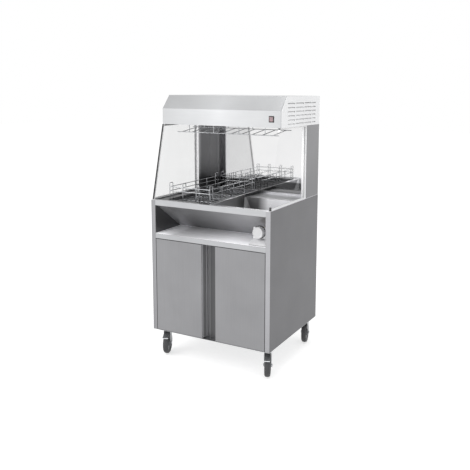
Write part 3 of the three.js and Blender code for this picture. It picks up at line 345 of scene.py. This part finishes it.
def break_edges(piece, width, segments):
    """Rounds the sharp edges of the active piece by this width and smooths its shading."""
    bevel = piece.modifiers.new("broken_edge", "BEVEL")
    bevel.width = width
    bevel.segments = segments
    bevel.limit_method = "ANGLE"
    bevel.angle_limit = math.radians(50)
    bpy.ops.object.modifier_apply(modifier=bevel.name)
    bpy.ops.object.shade_smooth_by_angle(angle=math.radians(35))


bracket_low, bracket_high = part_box("control_bracket")
bezel_low, bezel_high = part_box("thermostat_bezel")
bend_radius, shaft_hole_radius, punch_length = 0.003, 0.005, 0.02
face_gap, end_gap = 0.0003, 0.0005
foot_lift, face_reach, body_margin = 0.0016, 0.0185, 0.001
shaft = (bezel_low + bezel_high) / 2
face_plane = bezel_high.y + face_gap
bracket_top = max(shaft.z + face_reach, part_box("thermostat_body")[1].z + body_margin)
outline = rounded(
    [
        (0, bracket_low.y, bracket_low.z + foot_lift),
        (0, face_plane, bezel_low.z - end_gap),
        (0, face_plane, bracket_top),
        (0, bracket_high.y - end_gap, bracket_top),
    ],
    bend_radius,
)
last_row = len(outline) - 1
bpy.ops.object.select_all(action="DESELECT")
bpy.ops.mesh.primitive_grid_add(x_subdivisions=1, y_subdivisions=last_row, size=1)
bracket = bpy.context.object
bracket.name = "bent_control_bracket"
for point in bracket.data.vertices:
    row = outline[round((point.co.y + 0.5) * last_row)]
    across = bracket_low.x if point.co.x < 0 else bracket_high.x
    point.co = (across, row.y, row.z)
fold = bracket.modifiers.new("thickness", "SOLIDIFY")
fold.thickness = sheet
fold.offset = -1
bpy.ops.object.modifier_apply(modifier=fold.name)
bpy.ops.object.select_all(action="DESELECT")
bpy.ops.mesh.primitive_cylinder_add(
    vertices=32, radius=shaft_hole_radius, depth=punch_length,
    location=(shaft.x, face_plane, shaft.z), rotation=(math.radians(90), 0, 0),
)
punch = bpy.context.object
bpy.context.view_layer.objects.active = bracket
bracket.select_set(True)
hole = bracket.modifiers.new("shaft_hole", "BOOLEAN")
hole.operation = "DIFFERENCE"
hole.object = punch
bpy.ops.object.modifier_apply(modifier=hole.name)
break_edges(bracket, width=0.0003, segments=2)
bpy.data.objects.remove(punch)
# The front edge of the foot is painted dark, a painted shadow of the gap at the mid rail.
bracket.data.materials.append(stainless(
    "linished_stainless_bracket", "#E2E2E4", "#EEEEEF", 0.4, level_strokes, metal=0.35,
    tones=(("Y", bracket_low.y + 0.0012, bracket_low.y + foot_lift, 0.2, 1.0),),
))
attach(bracket, "cabinet")
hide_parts("control_bracket")


# Thermostat: its housing is ivory phenolic, pressed, and slightly mottled. Behind the
# knob lies a black moulded bezel with a satin skin, whose black also stands in for the
# shadow of the knob as painted shadow.
def moulding(name, low, high, roughness, grit, depth):
    """Moulded plastic or rubber: a mottle between two sRGB colours and a fine grit, whose
    size in metres is given, pressed depth metres deep."""
    made, tree, shader, place = blank_material(name)
    shader.inputs["IOR"].default_value = 1.5
    spots = add(
        tree, "ShaderNodeTexNoise", links={"Vector": place},
        inputs={"Scale": 60.0, "Detail": 4.0},
    )
    colour = add(
        tree, "ShaderNodeMix", data_type="RGBA", links={"Factor": spots.outputs["Fac"]},
        inputs={"A": linear(low), "B": linear(high)},
    )
    tree.links.new(colour.outputs["Result"], shader.inputs["Base Color"])
    skin_grit = add(
        tree, "ShaderNodeTexNoise", links={"Vector": place},
        inputs={"Scale": 1 / grit, "Detail": 3.0},
    )
    rough = add(
        tree, "ShaderNodeMapRange", links={"Value": skin_grit.outputs["Fac"]},
        inputs={"To Min": roughness - 0.08, "To Max": roughness + 0.08},
    )
    tree.links.new(rough.outputs[0], shader.inputs["Roughness"])
    bump = add(
        tree, "ShaderNodeBump", links={"Height": skin_grit.outputs["Fac"]},
        inputs={"Strength": 0.4, "Distance": depth},
    )
    tree.links.new(bump.outputs[0], shader.inputs["Normal"])
    return made


dress(["thermostat_body"], moulding("pressed_phenolic", "#DDD7C8", "#E9E4D7", 0.5, 0.001, 0.0001))
dress(["thermostat_bezel"], moulding("black_moulding_and_painted_shadow", "#19191B", "#222224", 0.35, 0.0008, 0.0001))

# Knob: white urea, moulded, with sixteen soft flutes that taper to the front, a rounded
# front edge and a dished face. It is pushed onto the shaft of the thermostat.
def edit_end_faces(piece, way):
    """Opens a piece in edit mode with the faces picked that look forwards (-1) or back (1)."""
    bpy.ops.object.mode_set(mode="EDIT")
    bpy.ops.mesh.select_mode(type="FACE")
    bpy.ops.mesh.select_all(action="DESELECT")
    bpy.ops.object.mode_set(mode="OBJECT")
    for face in piece.data.polygons:
        face.select = face.normal.y * way > 0.9
    bpy.ops.object.mode_set(mode="EDIT")


knob_low, knob_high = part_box("thermostat_knob")
knob_middle = (knob_low + knob_high) / 2
knob_radius = (knob_high.x - knob_low.x) / 2
knob_length = knob_high.y - knob_low.y
flute_count, flute_facets = 16, 8
flute_depth, knob_taper = 0.002, 0.0015
bpy.ops.object.select_all(action="DESELECT")
bpy.ops.mesh.primitive_cylinder_add(
    vertices=flute_count * flute_facets, radius=knob_radius, depth=knob_length,
    location=knob_middle, rotation=(math.radians(90), 0, 0),
)
knob = bpy.context.object
knob.name = "dial_knob"
bpy.ops.object.transform_apply(location=True, rotation=True, scale=True)
edit_end_faces(knob, -1)
# From the edge inwards: a flat ring, the slope of the dish, and its floor.
for ring_width, sunk in ((0.003, 0.0), (0.005, 0.0014), (0.006, 0.0006)):
    bpy.ops.mesh.inset(thickness=ring_width)
    bpy.ops.transform.translate(value=(0, sunk, 0))
bpy.ops.object.mode_set(mode="OBJECT")
for point in knob.data.vertices:
    away = Vector((point.co.x - knob_middle.x, 0, point.co.z - knob_middle.z))
    if away.length > knob_radius - skin:
        turn = math.atan2(away.z, away.x)
        taper = knob_taper * (knob_high.y - point.co.y) / knob_length
        dip = flute_depth * (0.5 - 0.5 * math.cos(flute_count * turn)) + taper
        point.co -= away.normalized() * dip
break_edges(knob, width=0.0011, segments=3)
knob_white = moulding("white_urea_moulding", "#E4E4E6", "#F0F0F1", 0.3, 0.0006, 0.00005)
knob.data.materials.append(knob_white)
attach(knob, "thermostat_knob")
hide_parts("thermostat_knob")

# Doors: folded pans of satin stainless, brushed upright, each turning on two plated pins.
# Their pull edges fold back into the recess, where painted light brightens the start of
# each fold and its lip and painted shade darkens it further in. The doors are painted
# lighter towards the top, and a painted shade line along the top and outer edges draws
# the thin gaps round the doors as wide as they look.
door_low, door_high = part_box("right_door")
door_right, door_top = door_high.x, door_high.z
side_shade_line, side_fade = 0.0010, 0.0008
top_shade_line, top_fade = 0.0012, 0.0010
fold_edge, fold_depth = front_plane + 0.002, front_plane + 0.010
return_depth, fold_fade = front_plane + 0.031, 0.003
door_steel = stainless(
    "brushed_stainless_door", "#878789", "#949496", 0.38, upright_strokes,
    tones=(
        ("Z", door_low.z, door_top, 0.98, 1.06),
        ("Z", door_top - top_shade_line - top_fade, door_top - top_shade_line, 1.0, 0.15),
        ("X", door_right - side_shade_line - side_fade, door_right - side_shade_line, 1.0, 0.2),
        ("X", side_shade_line - door_right, side_shade_line + side_fade - door_right, 0.2, 1.0),
        ("Y", front_plane + sheet, fold_edge, 1.0, 2.4),
        ("Y", fold_edge + 0.001, fold_depth, 1.0, 0.9),
        ("Y", fold_depth, fold_depth + fold_fade, 1.0, 0.5),
        ("Y", return_depth, return_depth + fold_fade, 1.0, 2.3),
    ),
    matt=("Y", fold_edge, fold_edge + 0.002, 1.0, 0.5),
)
dress(["left_door", "right_door"], door_steel)

# Centre post, inner shelf and heater plate: plain folded sheet, brushed. The post shows
# between the doors, with painted light at its left end and painted shade at its right.
post_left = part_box("centre_post")[0].x
light_end, shaded_from = post_left + 0.0115, post_left + 0.0235
post_steel = stainless(
    "brushed_stainless_post", "#8B8B8D", "#99999B", 0.36, upright_strokes, metal=0.6,
    tones=(
        ("X", light_end, light_end + 0.002, 1.6, 0.75),
        ("X", shaded_from, shaded_from + 0.003, 1.0, 0.48),
    ),
)
dress(["centre_post"], post_steel)
dress(
    ["inner_shelf", "heater_plate"],
    stainless("brushed_stainless_inner", "#A4A5A7", "#B4B5B7", 0.32, level_strokes),
)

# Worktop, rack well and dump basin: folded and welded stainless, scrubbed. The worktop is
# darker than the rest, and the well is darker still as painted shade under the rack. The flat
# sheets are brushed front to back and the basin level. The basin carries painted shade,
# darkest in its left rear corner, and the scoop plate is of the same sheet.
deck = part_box("worktop")[1].z
basin_low, basin_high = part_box("dump_basin")
basin_rear = basin_high.y - 0.044
well_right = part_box("rack_well")[1].x
top_strokes = (420.0, 6.0, 6.0)
deck_steel = stainless(
    "scrubbed_stainless_worktop", "#7F7F81", "#98989A", 0.34, top_strokes, metal=0.9,
    # Painted light and shade: the dropped ledge, the strip before the basin and the divider edge
    # are painted lighter as painted highlights, and the worktop before the basin's back is painted
    # darker as painted shade. The ledge is painted darker towards the left, with a painted shadow
    # line behind the basin and a painted highlight at its left end.
    tones=(
        ("Z", deck - 0.003, deck - 0.002, 2.1, 1.0),
        ("Y", basin_low.y, basin_low.y + 0.010, 1.6, 1.0),
        ("X", well_right - sheet, well_right - skin, 1.0, 1.9, "Y", basin_high.y, "before"),
        ("Y", basin_high.y + 0.001, basin_high.y + 0.003, 0.45, 1.0),
        ("X", basin_low.x + 0.030, basin_low.x + 0.070, 0.42, 1.08, "Y", basin_high.y),
        ("Y", basin_high.y + 0.010, basin_high.y + 0.012, 0.12, 1.0, "Y", basin_high.y),
        ("X", basin_low.x + 0.003, basin_low.x + 0.004, 4.0, 1.0, "Y", basin_high.y),
    ),
)
dress(["worktop"], deck_steel)
well_steel = stainless(
    "stainless_well_painted_shade", "#767678", "#868688", 0.36, top_strokes, metal=0.9,
)
dress(["rack_well"], well_steel)
basin_steel = stainless(
    "scrubbed_stainless_basin", "#99999B", "#ACACAE", 0.36, level_strokes, metal=0.9,
    # Painted shade darkens the basin towards its rear and in its left rear corner, painted light
    # brightens its rear wall, and its rim top carries a painted highlight.
    tones=(
        ("Y", basin_rear - 0.074, basin_rear, 1.0, 0.52),
        ("Y", basin_rear - 0.004, basin_rear + 0.004, 1.0, 4.0),
        ("X", basin_low.x + 0.030, basin_low.x + 0.040, 0.26, 0.15, "Y", basin_rear),
        ("X", basin_low.x + 0.100, basin_low.x + 0.130, 1.0, 3.2, "Y", basin_rear),
        ("X", basin_low.x + 0.130, basin_low.x + 0.165, 1.0, 1.85, "Y", basin_rear),
        ("Z", deck, deck + skin, 1.0, 2.3),
    ),
)
dress(["dump_basin", "scoop_plate"], basin_steel)

# Polished sheet: the panel behind the rack and the lamp reflector are mirror-finished
# stainless with the faint haze of a buffing wheel. The foot of the panel is darkened with
# painted shade.
def patchy(tree, shader, place, scale, detail, low, high, smoothest, roughest):
    """Patches at this scale per metre, in which the colour goes from one sRGB colour to
    the other and the roughness from the smoothest to the roughest. Gives the patches and
    their colour."""
    patches = add(
        tree, "ShaderNodeTexNoise", links={"Vector": place},
        inputs={"Scale": scale, "Detail": detail},
    ).outputs["Fac"]
    colour = add(
        tree, "ShaderNodeMix", data_type="RGBA", links={"Factor": patches},
        inputs={"A": linear(low), "B": linear(high)},
    ).outputs["Result"]
    tree.links.new(colour, shader.inputs["Base Color"])
    rough = add(
        tree, "ShaderNodeMapRange", links={"Value": patches},
        inputs={"To Min": smoothest, "To Max": roughest},
    )
    tree.links.new(rough.outputs[0], shader.inputs["Roughness"])
    return patches, colour


painted_shade_top = deck + 0.060
mirror, tree, shader, place = blank_material("mirror_polished_stainless")
shader.inputs["Metallic"].default_value = 1.0
_, colour = patchy(tree, shader, place, 6.0, 3.0, "#E2E2E3", "#ECECEC", 0.03, 0.06)
axes = add(tree, "ShaderNodeSeparateXYZ", links={"Vector": place})
foot = add(
    tree, "ShaderNodeMapRange", links={"Value": axes.outputs["Z"]},
    inputs={"From Min": painted_shade_top, "From Max": painted_shade_top + 0.008, "To Min": 0.22, "To Max": 1.0},
)
scaled = add(
    tree, "ShaderNodeVectorMath", operation="SCALE",
    links={"Vector": colour, "Scale": foot.outputs[0]},
)
tree.links.new(scaled.outputs[0], shader.inputs["Base Color"])
dress(["mirror_panel", "lamp_reflector"], mirror)


# Carton rack: 4.4 mm steel wire, bent round at the corners, spot-welded and chromed.
# It replaces the straight wires of the same places and lifts out of its well.
def welded_wires(name, paths, radius):
    """One mesh of round wires along the paths, each wire closed at its ends."""
    curve = bpy.data.curves.new(name, "CURVE")
    curve.dimensions = "3D"
    curve.bevel_depth = radius
    curve.bevel_resolution = 2
    curve.use_fill_caps = True
    for points in paths:
        spline = curve.splines.new("POLY")
        spline.points.add(len(points) - 1)
        for knot, place in zip(spline.points, points):
            knot.co = (*place, 1)
    made = bpy.data.objects.new(name, curve)
    bpy.context.scene.collection.objects.link(made)
    bpy.ops.object.select_all(action="DESELECT")
    made.select_set(True)
    bpy.context.view_layer.objects.active = made
    bpy.ops.object.convert(target="MESH")
    bpy.ops.object.shade_smooth_by_angle(angle=math.radians(60))
    return bpy.context.object


# The chrome strays in patches far darker than chrome is, as a painted reflection of a dark room.
chrome, tree, shader, place = blank_material("chromed_wire")
shader.inputs["Metallic"].default_value = 1.0
patchy(tree, shader, place, 35.0, 4.0, "#85878A", "#DADBDD", 0.08, 0.28)

rack_wire = 0.0022
corner_radius = 0.008
rack_low, rack_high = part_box("carton_rack")
rack_left, rack_right = rack_low.x + rack_wire, rack_high.x - rack_wire
rack_front, rack_back = rack_low.y + rack_wire, rack_high.y - rack_wire
rack_floor = rack_low.z + 2 * rack_wire
hoop_top = rack_high.z - rack_wire
low_rail, high_rail = deck + 0.049, deck + 0.072
hoop_depth = 0.030
lane_count, bay_count, floor_wire_count = 3, 4, 2
lane_width = (rack_right - rack_left) / lane_count
wires = []
for lane in range(lane_count + 1):
    x = rack_left + lane * lane_width
    outer = lane in (0, lane_count)
    wires.append(rounded(
        [
            (x, rack_front + hoop_depth, rack_floor),
            (x, rack_front + hoop_depth, hoop_top),
            (x, rack_front, hoop_top),
            (x, rack_front, rack_floor),
            (x, rack_back, rack_floor),
            (x, rack_back, hoop_top),
            (x, rack_back - hoop_depth, hoop_top),
            (x, rack_back - hoop_depth, rack_floor),
        ],
        corner_radius,
    ))
    for z in (low_rail, high_rail) if outer else (low_rail,):
        wires.append([(x, rack_front - rack_wire, z), (x, rack_back + rack_wire, z)])
    for bay in range(1, bay_count):
        y = rack_front + (rack_back - rack_front) * bay / bay_count
        wires.append([(x, y, rack_floor), (x, y, high_rail if outer else low_rail)])
for y in (rack_front, rack_back):
    for z in (low_rail, high_rail):
        wires.append([(rack_left - rack_wire, y, z), (rack_right + rack_wire, y, z)])
for bay in range(bay_count + 1):
    y = rack_front + (rack_back - rack_front) * bay / bay_count
    z = rack_floor - rack_wire
    wires.append([(rack_left - rack_wire, y, z), (rack_right + rack_wire, y, z)])
for lane in range(lane_count):
    for i in range(floor_wire_count):
        x = rack_left + lane_width * (lane + (i + 1) / (floor_wire_count + 1))
        wires.append([
            (x, rack_front - rack_wire, rack_floor),
            (x, rack_back + rack_wire, rack_floor),
        ])
rack = welded_wires("welded_carton_rack", wires, rack_wire)
rack.data.materials.append(chrome)
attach(rack, "carton_rack")
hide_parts("carton_rack")

# Side glasses: 5 mm clear toughened glass, low in iron, wiped with faint smears. The left
# pane is drawn a little greyer and less clear than the right one.
for name, clearest, greyest in (("left_glass", 0.13, 0.16), ("right_glass", 0.01, 0.03)):
    glass, tree, shader, place = blank_material("toughened_clear_" + name)
    shader.inputs["IOR"].default_value = 1.5
    smear, _ = patchy(tree, shader, place, 7.0, 3.0, "#8F9495", "#A3A7A8", 0.02, 0.06)
    veil = add(
        tree, "ShaderNodeMapRange", links={"Value": smear},
        inputs={"To Min": clearest, "To Max": greyest},
    )
    tree.links.new(veil.outputs[0], shader.inputs["Alpha"])
    dress([name], glass)

# Edge channels: the glasses stand in folded channels, linished, and painted near white as a
# painted highlight. The right one has a dark cap on its front end at the rim, which is drawn
# in the colour of the channel.
trim_low, trim_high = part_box("left_glass_trim")
cap_end = trim_low.y + 0.010
for name, title, tones in (
    ("left_glass_trim", "bright_edge_channel", ()),
    ("right_glass_trim", "capped_edge_channel", (("Y", cap_end, cap_end + 0.001, 0.05, 1.0),)),
):
    channel_steel = stainless(
        title, "#F0F0F1", "#F8F8F8", 0.35, level_strokes, metal=0.3, tones=tones,
    )
    dress([name], channel_steel)

# Channel plug: black rubber, moulded, pushed into the open top end of the right channel.
# It shows as a small black mark under the right end of the hood.
channel_low, channel_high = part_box("right_glass_trim")
plug_depth, plug_height, plug_reach = 0.006, 0.009, 0.009
plug_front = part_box("hood_shell")[0].y - plug_reach
bpy.ops.object.select_all(action="DESELECT")
bpy.ops.mesh.primitive_cube_add(
    size=1,
    location=(
        (channel_low.x + channel_high.x) / 2,
        plug_front + plug_depth / 2,
        channel_high.z - plug_height / 2,
    ),
    scale=(channel_high.x - channel_low.x, plug_depth, plug_height),
)
plug = bpy.context.object
plug.name = "channel_plug"
bpy.ops.object.transform_apply(location=True, rotation=True, scale=True)
break_edges(plug, width=0.0012, segments=3)
plug_rubber = moulding("black_plug_rubber", "#1C1C1E", "#28282A", 0.55, 0.001, 0.0001)
plug.data.materials.append(plug_rubber)
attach(plug, "cabinet")

# Glazing gaskets of the left glass: black extruded rubber. A flat strip covers the front
# of its leaning channel, and round beads are pressed in along its top and its back. The
# thick black bead along the top stands in for the shadow under the fascia, a painted shadow.
gasket_and_shadow_rubber = moulding("black_gasket_and_shadow_rubber", "#161618", "#222224", 0.55, 0.001, 0.0001)
strip_thickness = 0.0012
trim_ends = [point.co for point in nodes["left_glass_trim"].data.vertices]
top_front = min(place.y for place in trim_ends if place.z > trim_high.z - skin)
bpy.ops.object.select_all(action="DESELECT")
bpy.ops.mesh.primitive_cube_add(size=1)
strip = bpy.context.object
strip.name = "left_front_gasket"
for point in strip.data.vertices:
    face_y, z = (top_front, trim_high.z) if point.co.z > 0 else (trim_low.y, trim_low.z)
    x = trim_high.x if point.co.x > 0 else trim_low.x
    point.co = (x, face_y if point.co.y > 0 else face_y - strip_thickness, z)
break_edges(strip, width=0.0003, segments=2)
lip_depth = 0.007
top_bead, rear_bead = 0.0026, 0.0007
top_path = [
    (trim_high.x - rear_bead, y, trim_high.z - lip_depth)
    for y in (top_front + lip_depth, trim_high.y - lip_depth)
]
rear_path = [
    (trim_high.x - rear_bead, trim_high.y - lip_depth, z)
    for z in (trim_low.z + lip_depth, trim_high.z - lip_depth)
]
for gasket in (
    strip,
    welded_wires("left_top_shadow_bead", [top_path], top_bead),
    welded_wires("left_rear_gasket", [rear_path], rear_bead),
):
    gasket.data.materials.append(gasket_and_shadow_rubber)
    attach(gasket, "cabinet")

# Wings and rear cover: folded sheet that carries the hood, brushed upright, with a front
# flange that turns inwards and is painted lighter as a painted highlight. A painted shade
# line is drawn at the hem of the left flange. The inner faces are painted pale near the
# front and darker further in, painted light and shade, and the wings are painted darker
# towards their foot.
hem_shade_left, hem_shade_right, hem_shade_fade = trim_high.x + 0.0056, trim_high.x + 0.0067, 0.0003
for side, inside in ((1, 0.9), (-1, 0.62)):
    name = "right_wing" if side > 0 else "left_wing"
    wing_low, wing_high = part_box(name)
    skin_x = side * (cad_high.x - sheet / 2)
    inner = ("X", skin_x + skin) if side < 0 else ("X", skin_x - skin, "before")
    on_flange = ("Y", wing_low.y + 0.016, "before")
    wing_steel = stainless(
        "brushed_stainless_" + name, "#828284", "#8F8F91", 0.34, upright_strokes, metal=0.85,
        tones=(
            ("Y", wing_low.y + sheet - skin, wing_low.y + sheet, 3.9, 1.0),
            ("Y", wing_low.y + 0.035, wing_low.y + 0.075, 3.0, 1.0, *inner),
            ("X", hem_shade_left, hem_shade_left + hem_shade_fade, 1.0, 0.25, *on_flange),
            ("X", hem_shade_right, hem_shade_right + hem_shade_fade, 1.0, 4.0, *on_flange),
            ("Z", wing_low.z, wing_high.z, 0.88, 1.14),
            ("X", skin_x - side * skin, skin_x + side * skin, inside, 1.0),
        ),
    )
    dress([name], wing_steel)
cover_steel = stainless("brushed_stainless_cover", "#777779", "#868688", 0.36, level_strokes)
dress(["rear_cover"], cover_steel)

# Hood shell and louvred ends: one bent sheet and two pressed end plates, brushed along
# the hood. The slope is painted darker as painted shade, the shell is painted darker towards
# both ends, and a painted shade line marks its joint with the right end plate.
hood_low, hood_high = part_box("hood_shell")
fascia_height = 0.088
fascia_top = hood_low.z + fascia_height
hood_steel = stainless(
    "brushed_stainless_hood", "#CFD0D2", "#DCDDDE", 0.3, level_strokes,
    tones=(
        ("Z", fascia_top - skin, fascia_top + skin, 1.0, 0.80),
        ("X", hood_low.x, 0.0, 0.86, 1.08),
        ("X", 0.0, hood_high.x, 1.0, 0.84),
        ("X", 0.0, hood_high.x, 1.0, 0.88, "Z", fascia_top),
        ("X", hood_high.x - 0.003, hood_high.x - 0.002, 1.0, 0.6),
    ),
)
dress(["hood_shell"], hood_steel)
for side in (1, -1):
    inner_skin = side * (hood_high.x - 0.0012)
    outer_skin = side * (hood_high.x - 0.0004)
    # Inside the outer skin the end plate is painted paler and matt, painted light that hides the
    # shade in the louvres.
    end_steel = stainless(
        "pressed_stainless_hood_end", "#E9EAEB", "#F3F3F4", 0.4, level_strokes, clouds=0.03,
        tones=(("X", inner_skin, outer_skin, 1.1, 1.0),),
        matt=("X", inner_skin, outer_skin, 0.0, 0.8),
    )
    dress(["hood_right_end" if side > 0 else "hood_left_end"], end_steel)

# Lamp guard: the same chromed wire as the rack, in a flat grid hung from the reflector by
# hooked wires, so that nothing touches the lamps.
guard_wire = 0.0022
guard_low, guard_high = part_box("lamp_guard")
guard_left, guard_right = guard_low.x, guard_high.x
guard_front, guard_back = guard_low.y + guard_wire, guard_high.y - guard_wire
guard_front_height = guard_low.z + guard_wire
guard_rise, front_drop = 0.020, 0.113
guard_back_height = guard_front_height + guard_rise
front_hang = guard_front_height + front_drop
back_hang = guard_high.z - guard_wire
hook, hook_radius = 0.010, 0.004
cross_count, hanger_count = 10, 4
wires = [
    [(guard_left, y, z), (guard_right, y, z)]
    for y, z in ((guard_front, guard_front_height), (guard_back, guard_back_height))
]
for i in range(cross_count):
    x = guard_left + (guard_right - guard_left) * (i + 0.5) / cross_count
    wires.append([
        (x, guard_front - guard_wire, guard_front_height),
        (x, guard_back + guard_wire, guard_back_height),
    ])
for i in range(hanger_count):
    x = guard_left + (guard_right - guard_left) * (i + 0.5) / hanger_count
    wires.append(rounded(
        [
            (x, guard_front, guard_front_height),
            (x, guard_front, front_hang),
            (x, guard_front + hook, front_hang),
        ],
        hook_radius,
    ))
    wires.append(rounded(
        [
            (x, guard_back, guard_back_height),
            (x, guard_back, back_hang),
            (x, guard_back - hook, back_hang),
        ],
        hook_radius,
    ))
guard = welded_wires("welded_lamp_guard", wires, guard_wire)
guard.data.materials.append(chrome)
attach(guard, "cabinet")
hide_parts("lamp_guard")

# Heat lamps: quartz tubes with a milky coat between ceramic blocks, fired and matt. They
# hang in the reflector and are seen from below only.
ceramic = moulding("fired_ceramic_and_quartz", "#EEE9DF", "#F7F3EA", 0.3, 0.001, 0.0001)
dress(["front_lamp", "rear_lamp"], ceramic)

# Switch: a black glossy frame round a red translucent rocker, both moulded. The rocker
# isn't lit and looks greyish pink, and nothing is printed on it.
for name, title, dark, light, roughness in (
    ("switch_frame", "black_switch_moulding", "#1B1B1D", "#232325", 0.3),
    ("switch_rocker", "clear_red_rocker_moulding", "#A88E92", "#C0A9AC", 0.25),
):
    dress([name], moulding(title, dark, light, roughness, 0.0008, 0.00005))

# Casters: pressed and zinc-plated plates, forks, bolts and pedals. The plating is bright
# with a faint patchy tarnish. The plates and the tops of the forks are painted dark as
# painted shade under the cabinet, with a painted highlight band below; the pedals are
# bright along their lowest 4 mm and darker above.
# The hinge pins of the doors are plated alike.
zinc_dark, zinc_light, tarnish_spots = "#A9ABAE", "#C9CBCD", (60.0, 60.0, 60.0)
zinc = stainless(
    "zinc_plated_steel", zinc_dark, zinc_light, 0.33, tarnish_spots, clouds=0.12,
)
corners = ("front_left", "front_right", "rear_left", "rear_right")
dress([corner + "_caster_axle" for corner in corners], zinc)
dress(
    [side + end + "_hinge_pin" for side in ("right", "left") for end in ("_top", "_bottom")],
    zinc,
)
crown_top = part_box("front_left_caster_fork")[1].z
highlight_band_from, under_plate_shade_from = crown_top - 0.0140, crown_top - 0.0070
fork_zinc = stainless(
    "zinc_plated_fork", zinc_dark, zinc_light, 0.33, tarnish_spots, clouds=0.12, metal=0.5,
    tones=(
        ("Z", highlight_band_from, highlight_band_from + 0.001, 0.8, 2.0),
        ("Z", under_plate_shade_from, under_plate_shade_from + 0.001, 1.0, 0.08),
    ),
)
dress([corner + "_caster_mount" for corner in corners], fork_zinc)
dress([corner + "_caster_fork" for corner in corners], fork_zinc)
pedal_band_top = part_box("front_left_brake_pedal")[0].z + 0.004
pedal_zinc = stainless(
    "banded_zinc_pedal", zinc_dark, zinc_light, 0.4, tarnish_spots, clouds=0.12, metal=0.6,
    tones=(("Z", pedal_band_top, pedal_band_top + 0.001, 1.6, 0.4),),
)
dress(["front_left_brake_pedal", "front_right_brake_pedal"], pedal_zinc)

# Back screws: zinc-plated pan-head screws with a round driver recess, which hold the rear
# cover to the wings and the cabinet back to the flanges of the side panels.
head_radius, head_height, head_edge = 0.0048, 0.0024, 0.0006
screw_inset, end_margin, head_sink = 0.011, 0.02, 0.0003
crown_share, recess_wall_share, recess_depth_share = 0.55, 0.02, 0.6
cover_low, cover_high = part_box("rear_cover")
places = [
    (side * (cover_high.x - screw_inset), low + (high - low) * step / (count - 1))
    for side in (-1, 1)
    for low, high, count in (
        (cover_low.z + end_margin, cover_high.z - end_margin, 5),
        (side_foot + end_margin, cover_low.z - end_margin, 6),
    )
    for step in range(count)
]
bpy.ops.object.select_all(action="DESELECT")
bpy.ops.mesh.primitive_cylinder_add(
    vertices=20, radius=head_radius, depth=head_height, rotation=(math.radians(90), 0, 0),
)
screw = bpy.context.object
screw.name = "back_screws"
bpy.ops.object.transform_apply(location=True, rotation=True, scale=True)
edit_end_faces(screw, 1)
bpy.ops.mesh.inset(thickness=head_radius * crown_share)
bpy.ops.mesh.inset(thickness=head_radius * recess_wall_share)
bpy.ops.transform.translate(value=(0, -head_height * recess_depth_share, 0))
bpy.ops.object.mode_set(mode="OBJECT")
break_edges(screw, width=head_edge, segments=2)
screw_plane = cover_high.y + head_height / 2 - head_sink
for x, z in places[1:]:
    more = screw.copy()
    more.data = screw.data.copy()
    more.location = (x, screw_plane, z)
    bpy.context.scene.collection.objects.link(more)
    more.select_set(True)
screw.location = (places[0][0], screw_plane, places[0][1])
bpy.context.view_layer.objects.active = screw
bpy.ops.object.join()
bpy.ops.object.transform_apply(location=True, rotation=True, scale=True)
screw.data.materials.append(zinc)
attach(screw, "cabinet")

# Wheels: a grey polyurethane tread cast on a paler nylon hub, scuffed where it rolls.
# The border runs at the rim's inner radius round each axle.
rim_radius = 0.049
for corner in corners:
    name = corner + "_caster_wheel"
    low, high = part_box(name)
    axle = (low + high) / 2
    made, tree, shader, place = blank_material("cast_polyurethane_" + corner)
    shader.inputs["IOR"].default_value = 1.5
    away = add(
        tree, "ShaderNodeVectorMath", operation="DISTANCE",
        links={0: place}, inputs={1: axle},
    )
    tread = add(
        tree, "ShaderNodeMapRange", links={"Value": away.outputs["Value"]},
        inputs={"From Min": rim_radius - skin, "From Max": rim_radius + skin},
    )
    scuff = add(
        tree, "ShaderNodeTexNoise", links={"Vector": place},
        inputs={"Scale": 120.0, "Detail": 5.0, "Roughness": 0.7},
    )
    rubber = add(
        tree, "ShaderNodeMix", data_type="RGBA", links={"Factor": scuff.outputs["Fac"]},
        inputs={"A": linear("#2E2E30"), "B": linear("#5A5A5C")},
    )
    hub = add(
        tree, "ShaderNodeMix", data_type="RGBA", links={"Factor": scuff.outputs["Fac"]},
        inputs={"A": linear("#77787A"), "B": linear("#8C8D8F")},
    )
    colour = add(
        tree, "ShaderNodeMix", data_type="RGBA",
        links={
            "Factor": tread.outputs[0], "A": hub.outputs["Result"], "B": rubber.outputs["Result"],
        },
    )
    tree.links.new(colour.outputs["Result"], shader.inputs["Base Color"])
    rough = add(
        tree, "ShaderNodeMapRange", links={"Value": scuff.outputs["Fac"]},
        inputs={"To Min": 0.45, "To Max": 0.7},
    )
    tree.links.new(rough.outputs[0], shader.inputs["Roughness"])
    bump = add(
        tree, "ShaderNodeBump", links={"Height": scuff.outputs["Fac"]},
        inputs={"Strength": 0.3, "Distance": 0.0004},
    )
    tree.links.new(bump.outputs[0], shader.inputs["Normal"])
    dress([name], made)

# The box of the dressed object is taken, as the box of the CAD was after the import.
low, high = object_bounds()
